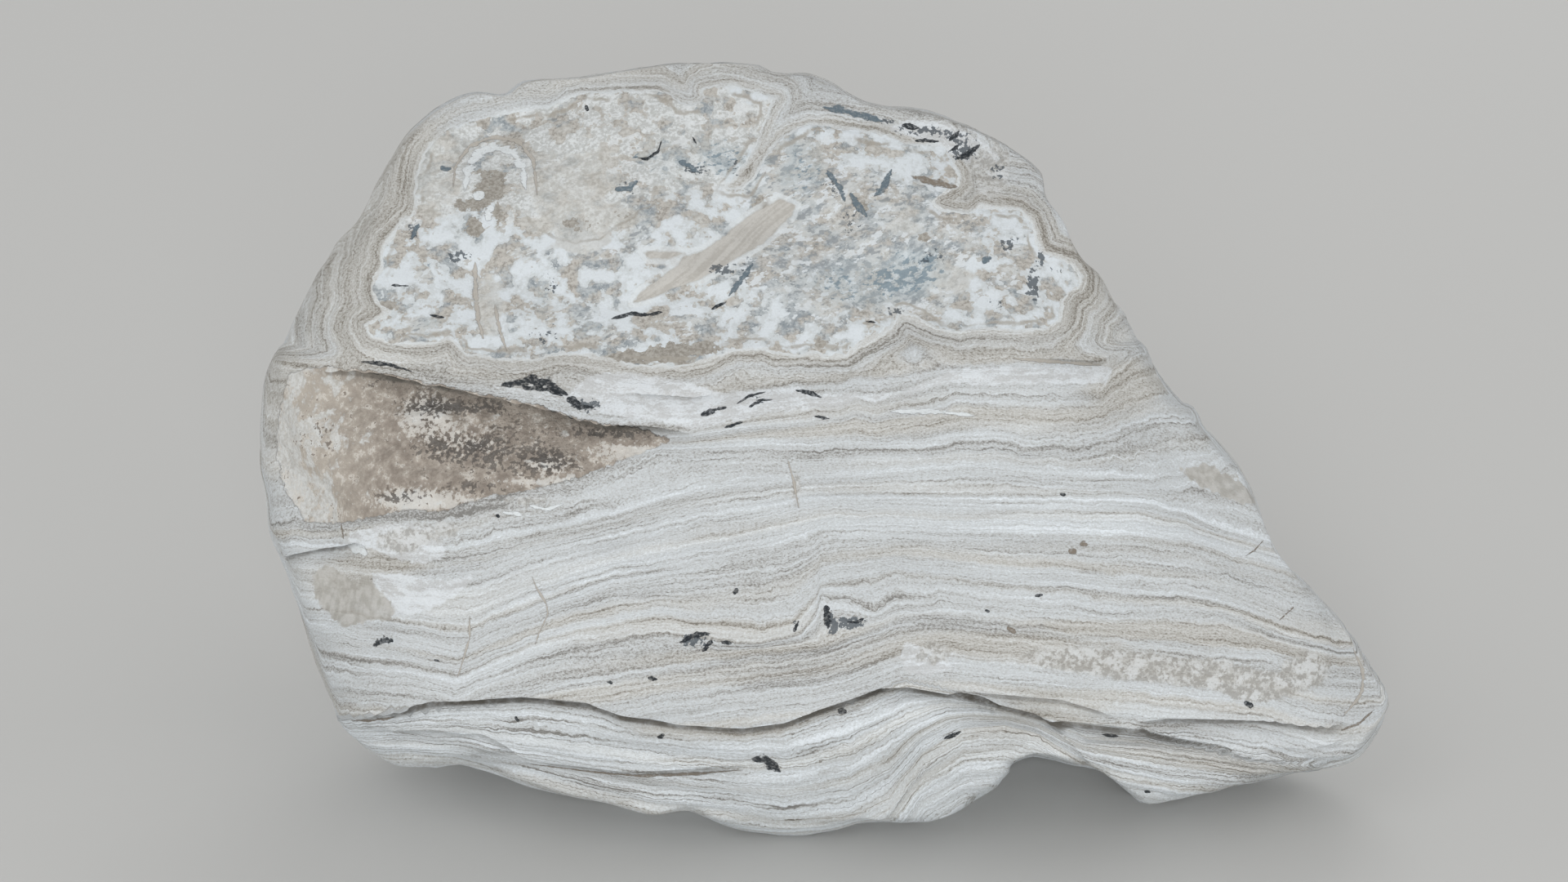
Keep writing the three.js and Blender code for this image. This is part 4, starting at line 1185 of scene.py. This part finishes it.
def planned_tone(graph, level):
    """Tone that BED_TONES gives at a bedding coordinate."""
    lowest, highest = BED_TONES[0][0], BED_TONES[-1][0]
    span = highest - lowest
    stops = [((bed - lowest) / span, grey(tone)) for bed, tone in BED_TONES]
    return graph.ramp((level - lowest) * (1 / span), stops)


def lamina_colour(graph, tone, warmth):
    cool, warm = (
        graph.ramp(tone, list(zip(LAMINA_TONES, colours)))
        for colours in (COOL_LAMINAE, WARM_LAMINAE)
    )
    return graph.mix(warmth, cool, warm)


def laminae(graph, rock):
    """Tone of the laminae, about 0 to 1, and their colour."""
    place, beige = rock.place, rock.zones["beige"]
    x, y, z = graph.parts(place)
    waver = (
        graph.sway(place, 17, 2) * 1.8
        + graph.sway(place, 5, 2, seed=1) * 1.5
        + graph.sway(place, 1.6, 3, seed=2) * 1.1
    )
    level = rock.bed + waver

    def layer(thickness, length, seed):
        """Noise from -0.5 to 0.5, drawn out along the beds. Sizes in mm."""
        run = 1 / length
        drawn_out = graph.vector(level * (1 / thickness), x * run + seed, (y + z) * run)
        return graph.sway(drawn_out, 1, 1.0)

    planned = planned_tone(graph, level) - BED_MIDDLE
    underside = graph.smooth(rock.bed, -84, -92)
    plain = 1 - beige * 0.5
    grain = graph.sway(graph.vector(level * 2.6, x * 1.6, (y + z) * 1.6), 1, 3, 0.7)
    tone = (
        planned * 0.85
        + layer(3.4, 200, 3) * 0.12
        + layer(1.4, 90, 4) * 0.42
        + layer(0.7, 36, 5) * 0.6
        + grain * 1.5
        # Below the main crease the dark hairlines are stronger, partly as painted shade in the fine
        # crevices between laminae.
        - graph.line(layer(2.2, 110, 7), 0.0, 0.03) * (0.15 + underside * 0.3) * plain
        - graph.line(layer(1.0, 60, 9), 0.0, 0.05) * (0.18 + underside * 0.22) * plain
        + graph.line(layer(2.6, 120, 15), 0.0, 0.045) * 0.2
        + BED_MIDDLE
    )
    # Painted light: the underside's tone is lifted to make up for the lamp light it misses. The
    # zones of painted shade darken it.
    tone = tone - beige * 0.05 + underside * 0.2 - rock.zones["dim"] * 0.3 - 0.05
    near_top = graph.smooth(rock.bed, -15, -2)
    warmth = graph.smooth(layer(5, 200, 11) + beige * 0.3 + near_top * 0.1, 0.0, 0.22)
    return tone, lamina_colour(graph, tone, warmth)


# ---- The mottled bed ---------------------------------------------------------------------------

# Pairs are the two colours that a fade runs between.
WHITE_ROCK = colour(209, 215, 219), colour(197, 202, 204)
DULL_ROCK = colour(177, 178, 175), colour(211, 214, 214)
DULL_CLUMP = colour(217, 220, 221)
COOL_GREY = colour(130, 138, 143), colour(180, 185, 187)
WARM_GREY = colour(148, 144, 137), colour(187, 184, 178)
LIGHT_GREY = colour(202, 206, 206)
PALE_FLAKE = colour(209, 214, 217)
DARK_FLAKE = colour(126, 131, 134)
TAN_PIECE = colour(156, 152, 144), colour(188, 186, 181)
BEIGE_CLOUD = colour(181, 179, 173), colour(206, 207, 204)
BLUE_CLOUD = colour(172, 185, 191)
BLUE_STREAK = colour(108, 128, 140)
BROWN_SPOT = colour(138, 133, 125), colour(168, 165, 158)


class Mottles:
    """The noises that the mottled bed's layers share, from the largest to the smallest."""

    def __init__(self, graph, place):
        x, y, z = graph.parts(place)
        self.flow = graph.vector((x * 0.85 + z * 0.53) * 0.45, (z * 0.85 - x * 0.53) * 1.1, y)
        self.cloud = graph.noise(place, 10, 4, 0.6)
        self.blob = graph.noise(place, 5.2, 3, 0.5, seed=1)
        self.clump = graph.noise(self.flow, 3.6, 4, 0.6, seed=16)
        self.spot = graph.noise(place, 2.1, 3, 0.6, seed=2)
        self.speck = graph.noise(place, 0.9, 3, 0.65, seed=3)
        self.patchy = self.blob + (self.spot - 0.5) * 0.3 + (self.cloud - 0.5) * 0.2


def mottled_white(graph, noises, lobe):
    """White rock, and the duller rock of the upper lobe."""
    white = graph.fade(noises.patchy + (noises.speck - 0.5) * 0.3, 0.4, 0.5, *WHITE_ROCK)
    dull = graph.fade(noises.spot * 0.6 + noises.speck * 1.1, 0.72, 0.98, *DULL_ROCK)
    dull = graph.mix(graph.smooth(noises.clump, 0.54, 0.6) * 0.6, dull, DULL_CLUMP)
    wavering = lobe + (noises.cloud - 0.5) * 24 + (noises.spot - 0.5) * 6
    return graph.mix(graph.smooth(wavering, -2, 1.5) * 0.85, white, dull)


def mottled_greys(graph, noises):
    """Grey of the separate pieces, and of the parts that are grey all over."""
    cool = graph.fade(noises.speck * 0.7 + noises.spot * 0.5, 0.45, 0.75, *COOL_GREY)
    warm = graph.fade(noises.speck, 0.35, 0.6, *WARM_GREY)
    pieces = graph.fade(noises.cloud * 0.6 + noises.clump * 0.4, 0.43, 0.54, cool, warm)
    lighter = graph.smooth(graph.noise(noises.flow, 4.5, 3, 0.6, seed=19), 0.46, 0.56)
    whole = graph.mix(lighter * 0.65, pieces, LIGHT_GREY)
    flakes = graph.noise(noises.flow, 1.8, 3, 0.6, seed=17) + (noises.clump - 0.5) * 0.5
    whole = graph.mix(graph.smooth(flakes, 0.56, 0.6) * 0.9, whole, PALE_FLAKE)
    return pieces, graph.mix(graph.smooth(flakes, 0.43, 0.37) * 0.75, whole, DARK_FLAKE)


def mottling(graph, rock):
    """Colour of the mottled bed: white with grey, beige, brown and blue-grey clouds."""
    noises = Mottles(graph, rock.place)
    spot, speck, blob, clump = noises.spot, noises.speck, noises.blob, noises.clump
    zones = rock.zones
    base = mottled_white(graph, noises, rock.lobe)
    pieces, whole = mottled_greys(graph, noises)
    is_piece = graph.smooth(noises.patchy + (speck - 0.5) * 0.24, 0.52, 0.54)
    base = graph.mix(is_piece, base, pieces)
    is_grey = graph.smooth(zones["grey"] + (clump - 0.5) * 1.6, 0.42, 0.56)
    base = graph.mix(is_grey * 0.88, base, whole)
    is_tan = graph.smooth(spot + (noises.cloud - 0.5) * 0.4, 0.62, 0.65)
    base = graph.mix(is_tan * 0.7, base, graph.mix(speck, *TAN_PIECE))
    is_beige = graph.smooth(zones["beige"] + (blob - 0.5) * 1.4, 0.3, 0.5)
    beige = graph.fade(spot * 0.6 + speck * 0.4, 0.38, 0.62, *BEIGE_CLOUD)
    base = graph.mix(is_beige * 0.6, base, beige)
    is_bluish = graph.smooth(zones["blue"] + (blob - 0.5), 0.3, 0.8)
    base = graph.mix(is_bluish * 0.3, base, BLUE_CLOUD)
    streaky = graph.noise(noises.flow, 1.3, 3, 0.65, seed=20)
    is_blue = graph.smooth(zones["blue"] * 0.3 + streaky * 0.7 + clump * 0.4, 0.8, 0.87)
    base = graph.mix(is_blue * 0.75, base, BLUE_STREAK)
    brownness = zones["brown"] + (spot - 0.5) * 1.5 + (speck - 0.5) * 0.6
    brown = graph.fade(speck, 0.35, 0.65, *BROWN_SPOT)
    return graph.mix(graph.smooth(brownness, 0.45, 0.52), base, brown)


# ---- The other patches -------------------------------------------------------------------------

PALE_TREAD = colour(180, 178, 173), colour(201, 202, 200)
BROWN_TREAD = colour(132, 123, 114), colour(174, 166, 156)
BROWN_TREAD_END = colour(180, 173, 163)
TREAD_VEIN = colour(201, 197, 190)
TREAD_GRAIN = colour(206, 204, 199)
# Soot, and the painted shadow under the lip that it partly stands for.
SOOT_AND_LIP_SHADOW = colour(120, 110, 100), colour(78, 75, 73)
STAINED = colour(204, 206, 206), colour(181, 180, 176)
STAIN_SPECK = colour(140, 137, 131)
WHITE_LENS = colour(193, 195, 196), colour(216, 221, 225)
GREY_PATCH = colour(162, 159, 152), colour(185, 183, 178)
MOTTLED_HALO = colour(211, 216, 218)
MOTTLED_LINE = colour(158, 153, 144)
LOBE_LINE = colour(152, 147, 138)
CLAST_HALO = colour(213, 218, 220)
CLAST = colour(175, 172, 166), colour(190, 188, 183)
CLAST_LINE = colour(155, 150, 141)
DARK_SHARD = colour(72, 80, 87)
GRAIN_SHADE = colour(130, 129, 126)
# Painted shadow and shade in the creases, with some dirt.
CREASE_SHADE_AND_DIRT = colour(98, 95, 89)
STREAK_INKS = {
    "black": colour(36, 41, 46),
    "blue": colour(98, 112, 121),
    "brown": colour(126, 117, 106),
    "tan": colour(176, 171, 163),
    "white": colour(214, 219, 221),
}


def broken_surface(graph, place, zones):
    """Colour of the tread: brown clouds on pale rock, peppered with soot (partly painted lip
    shadow) and pale grains.
    """
    x = graph.parts(place)[0]
    cloud = graph.noise(place, 9, 4, 0.6, seed=4)
    grain = graph.noise(place, 2.8, 4, 0.65, seed=5)
    pepper = graph.noise(place, 1.2, 4, 0.65, seed=6)
    pale = graph.fade(pepper, 0.35, 0.6, *PALE_TREAD)
    brown = graph.fade(grain, 0.3, 0.7, *BROWN_TREAD)
    brown = graph.mix(graph.smooth(x, -98, -124) * 0.7, brown, BROWN_TREAD_END)
    share = graph.smooth(x, -134, -92) * 0.52 + (cloud - 0.5) * 1.4 + (grain - 0.5) * 0.7 + 0.42
    base = graph.fade(share - zones["pale"] * 0.4, 0.51, 0.63, pale, brown)
    veins = graph.smooth(grain + pepper * 0.4, 0.76, 0.82)
    base = graph.mix(veins * 0.7, base, TREAD_VEIN)
    grains = graph.smooth(zones["pale"] * 0.3 + 1 - pepper, 0.66, 0.74)
    base = graph.mix(grains * 0.7, base, TREAD_GRAIN)
    dark = graph.smooth(pepper + (grain - 0.5) * 0.5 + zones["soot"] * 0.23, 0.65, 0.71)
    return graph.mix(dark * 0.85, base, graph.mix(zones["soot"], *SOOT_AND_LIP_SHADOW))


def stain(graph, place):
    """Colour of the stained patches among the laminae."""
    x, y, z = graph.parts(place)
    blot = graph.noise(graph.vector(x * 0.2, y * 0.2, z * 0.4), 1, 4, 0.65)
    speck = graph.noise(place, 1.1, 3, 0.65, seed=13)
    base = graph.fade(blot + (speck - 0.5) * 0.5, 0.38, 0.54, *STAINED)
    return graph.mix(graph.smooth(speck + blot * 0.8, 0.89, 0.97) * 0.7, base, STAIN_SPECK)


def with_pale_and_stained(graph, rock, base, tone):
    """Lays the white lenses, the stains and the grey patches over the laminae."""
    place = rock.place
    x, y, z = graph.parts(place)
    chalky = graph.noise(graph.vector(x * 0.16, y * 0.2, z * 0.45), 1, 4, 0.65, seed=21)
    lens = graph.fade(chalky + (tone - 0.5) * 0.3, 0.36, 0.58, *WHITE_LENS)
    base = graph.mix(graph.smooth(rock.white, -0.3, 0.5) * 0.8, base, lens)
    stained = graph.smooth(rock.zones["stain"] + rock.ragged * 1.2, 0.3, 0.6)
    base = graph.mix(stained * 0.8, base, stain(graph, place))
    patch = graph.fade(graph.noise(place, 2.4, 2), 0.35, 0.65, *GREY_PATCH)
    is_patch = graph.smooth(rock.grey_patch, -0.3, 0.3)
    return graph.mix(is_patch * (0.6 + rock.drift * 0.5), base, patch)


def with_mottled_bed(graph, rock, base):
    """Lays the mottled bed on, with a pale halo, and drab lines along its rim and the lobe's."""
    mottled, drift = rock.mottled, rock.drift
    halo = graph.smooth(mottled, -1.0, -0.4) * graph.smooth(drift, 0.38, 0.5)
    base = graph.mix(halo * 0.6, base, MOTTLED_HALO)
    base = graph.mix(rock.on_top, base, mottling(graph, rock))
    rim_line = graph.line(mottled - 1.4 - (drift - 0.5) * 3, 0.1, 0.7)
    rim_line = rim_line * graph.smooth(drift, 0.44, 0.56)
    base = graph.mix(rim_line * 0.75, base, MOTTLED_LINE)
    lobe_line = graph.line(rock.lobe - 0.2, 0.1, 0.5) * graph.smooth(mottled, 1, 2)
    return graph.mix(lobe_line * graph.smooth(drift, 0.4, 0.6) * 0.6, base, LOBE_LINE)


def with_clasts(graph, rock, base):
    """Lays the banded clasts on, each with a pale halo and a drab line round it."""
    x, _, z = graph.parts(rock.place)
    halo = graph.smooth(rock.clast, -1.7, -1.2) * graph.smooth(rock.drift, 0.36, 0.46)
    base = graph.mix(halo * 0.7, base, CLAST_HALO)
    bands = graph.noise(graph.vector((z * 0.87 - x * 0.49) * 1.3, x * 0.1, z * 0.05), 1, 3)
    speckle = graph.sway(rock.place, 0.8, 3, 0.6)
    clast = graph.fade(bands + speckle * 0.5, 0.36, 0.62, *CLAST)
    base = graph.mix(graph.smooth(rock.clast, -0.1, 0.1), base, clast)
    return graph.mix(graph.line(rock.clast + 0.1, 0.05, 0.35) * 0.3, base, CLAST_LINE)


def with_dark_shards(graph, rock, base):
    """Lays dark shards on in their zones."""
    dark = rock.zones["dark"]
    shards = graph.noise(rock.place, 1.3, 3, 0.65, seed=18)
    shown = graph.smooth(dark * 0.31 + shards, 0.7, 0.74) * graph.smooth(dark, 0.05, 0.2)
    return graph.mix(shown * 0.85, base, DARK_SHARD)


def with_streaks(graph, place, base):
    """Lays the streaks over a colour. Also returns how much of the surface they cover."""
    x, y, z = graph.parts(place)
    ragged = graph.sway(graph.vector(x * 0.5, y, z * 1.4), 0.9, 3, 0.65, seed=7)
    broken = graph.sway(place, 2.6, 2, 0.5, seed=8)
    fading = graph.smooth(graph.noise(place, 0.7, 2, 0.6, seed=9), 0.3, 0.55)
    inks = [(tone, STREAK_INKS[name]) for name, tone in STREAK_TONES.items()]
    cover = 0.0
    for k in range(STREAK_LAYERS):
        name = f"streaks_{k}"
        marks = graph.attribute(name, "Color")
        along, across, tone = graph.parts(marks, "ShaderNodeSeparateColor")
        near = graph.attribute(name, "Alpha")
        taper = graph.math("MAXIMUM", along * (1 - along) * 4, 0.0)
        width = graph.math("POWER", taper, 0.45)
        shape = width * (1 + ragged * 2 + broken * 2.2) - abs(across)
        shown = graph.smooth(shape, 0.0, 0.3) * graph.math("GREATER_THAN", near, 0.995)
        base = graph.mix(shown * (0.66 + fading * 0.32), base, graph.ramp(tone, inks))
        cover = shown + cover
    return base, cover


def with_crease_shade_and_dirt(graph, rock, base):
    """Paints the creases darker: a thin line of painted shadow just under each edge's lip, and
    painted shade, with some dirt, fading out below it.
    """
    shade_and_dirt = 0.0
    for k in range(len(CREASE_LAYERS)):
        height = graph.attribute(f"crease_height_{k}")
        strength = graph.attribute(f"crease_strength_{k}")
        line = graph.line(height + strength * 0.65 + 0.25, 0.2, 0.8)
        shade = graph.smooth(height, -4.5, 0) * (1 - graph.smooth(height, -0.1, 0.1))
        shade_and_dirt = graph.math("MAXIMUM", strength * (line * 0.7 * strength + shade * 0.3), shade_and_dirt)
    gaps = graph.smooth(rock.swing + rock.ragged * 0.5, -0.22, 0.1) * 0.45 + 0.55
    shade_and_dirt = shade_and_dirt * gaps * (1 - rock.zones["clean"] * 0.7) * (0.75 + rock.drift * 0.5)
    return graph.mix(shade_and_dirt, base, CREASE_SHADE_AND_DIRT)


# ---- The rock's material -----------------------------------------------------------------------

class Rock:
    """What the layers share: the bed, the zones, and each patch's distance made to waver."""

    def __init__(self, graph):
        place = graph.place()
        ripple = graph.sway(place, 2.6, 3, 0.6)
        swing = graph.sway(place, 5.5, 3, 0.5, seed=12)
        ragged = graph.sway(place, 2.2, 4, 0.7, seed=14)
        self.place = place
        self.swing = swing
        self.ragged = ragged
        self.drift = graph.noise(place, 9, 2, seed=11)
        self.bed = graph.attribute("bed")
        self.zones = {kind: graph.attribute("zone_" + kind) for kind in ZONES}
        self.mottled = graph.attribute("mottled") + ripple * 1.4 + swing * 3.4
        self.tread = graph.attribute("tread") + ripple * 1.6 + ragged * 2
        self.white = graph.attribute("white") + ragged * 3 + swing * 1.4
        self.clast = graph.attribute("clast") + ripple * 1.2
        self.grey_patch = graph.attribute("grey_patch") + ragged * 3.6 + swing * 2
        self.lobe = graph.attribute("lobe") + ripple * 1.4 + swing * 3
        self.on_top = graph.smooth(self.mottled, -0.1, 0.1)


def diatomite():
    """The rock's material: the laminae, with each kind of mark laid over them in turn."""
    material = bpy.data.materials.new("diatomite")
    material.use_nodes = True
    graph = Graph(material.node_tree)
    shader = material.node_tree.nodes["Principled BSDF"]
    shader.inputs["Roughness"].default_value = 0.93
    shader.inputs["Specular IOR Level"].default_value = 0.2

    rock = Rock(graph)
    tone, base = laminae(graph, rock)
    base = with_pale_and_stained(graph, rock, base, tone)
    base = with_mottled_bed(graph, rock, base)
    base = with_clasts(graph, rock, base)
    broken = graph.smooth(rock.tread, -0.15, 0.25)
    base = graph.mix(broken, base, broken_surface(graph, rock.place, rock.zones))
    base = with_dark_shards(graph, rock, base)
    base, cover = with_streaks(graph, rock.place, base)
    grain = graph.noise(rock.place, 0.5, 2)
    base = graph.mix((grain - 0.4) * 0.3, base, GRAIN_SHADE)
    graph.feed(shader.inputs["Base Color"], with_crease_shade_and_dirt(graph, rock, base))

    fleck = graph.noise(rock.place, 2.8, 4, 0.65)
    height = graph.mix(rock.on_top, tone * 0.14, fleck * 0.25, kind="FLOAT")
    height = graph.mix(broken, height, fleck * 1.1, kind="FLOAT")
    bump = graph.node("ShaderNodeBump")
    graph.feed(bump.inputs["Strength"], 0.8)
    graph.feed(bump.inputs["Distance"], MM)
    graph.feed(bump.inputs["Height"], height + grain * 0.06 - cover * 0.3)
    material.node_tree.links.new(bump.outputs[0], shader.inputs["Normal"])
    return material


# ---- Floor, light and camera -------------------------------------------------------------------

FLOOR_REACH = 4  # metres from the middle to each side
FLOOR_COLOUR = colour(196, 196, 194)
SKY_STRENGTH = 0.52
FOCAL_LENGTH = 80  # mm
NEAREST_SEEN = 0.01  # metres
LIT_POINT = (0, 0, 0.08)

# Lamps: where each stands (metres), its width (metres) and its power (watts). All face LIT_POINT.
LAMPS = {
    "key": ((-0.9, -1.1, 1.3), 1.2, 3.6),
    "fill": ((1.1, -1.0, 0.8), 1.4, 2.3),
    "low_front": ((0, -1.7, 0.42), 0.7, 15),
    "back": ((0.3, 1.4, 1.1), 1.2, 6),
    "left": ((-1.8, 0.2, 0.6), 1, 6),
    "right": ((1.8, 0.3, 0.9), 1, 5),
}


def look_at(thing, target):
    thing.rotation_mode = "QUATERNION"
    thing.rotation_quaternion = (thing.location - Vector(target)).to_track_quat("Z", "Y")


def add_floor():
    mesh = bpy.data.meshes.new("floor")
    corners = [(-1, -1), (1, -1), (1, 1), (-1, 1)]
    mesh.from_pydata([(x * FLOOR_REACH, y * FLOOR_REACH, 0) for x, y in corners], [], [range(4)])
    material = bpy.data.materials.new("floor")
    material.use_nodes = True
    shader = material.node_tree.nodes["Principled BSDF"]
    shader.inputs["Base Color"].default_value = FLOOR_COLOUR
    shader.inputs["Roughness"].default_value = 0.9
    mesh.materials.append(material)
    add_object("floor", mesh)


def add_lamp(name, place, width, power):
    lamp = bpy.data.lights.new(name, "AREA")
    lamp.size = width
    lamp.energy = power
    holder = add_object(name, lamp)
    holder.location = place
    look_at(holder, LIT_POINT)


def add_sky():
    world = bpy.data.worlds.new("studio")
    world.use_nodes = True
    background = world.node_tree.nodes["Background"]
    background.inputs["Color"].default_value = (1, 1, 1, 1)
    background.inputs["Strength"].default_value = SKY_STRENGTH
    bpy.context.scene.world = world


def add_camera():
    """The camera is square to the broad face, at the point that sections narrow towards."""
    lens = bpy.data.cameras.new("camera")
    lens.lens = FOCAL_LENGTH
    lens.clip_start = NEAREST_SEEN
    camera = add_object("camera", lens)
    target = Vector(FACE_CENTRE * MM)
    back = Vector((0, -math.cos(FACE_LEAN), math.sin(FACE_LEAN)))
    camera.location = target + back * TAPER_DISTANCE * MM
    look_at(camera, target)
    bpy.context.scene.camera = camera


def add_stage():
    bpy.context.scene.view_settings.view_transform = "Standard"
    add_floor()
    add_sky()
    for name, (place, width, power) in LAMPS.items():
        add_lamp(name, place, width, power)
    add_camera()


stone = make_stone()
stone.data.materials.append(diatomite())
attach(stone, "root")
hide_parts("stone")
add_stage()
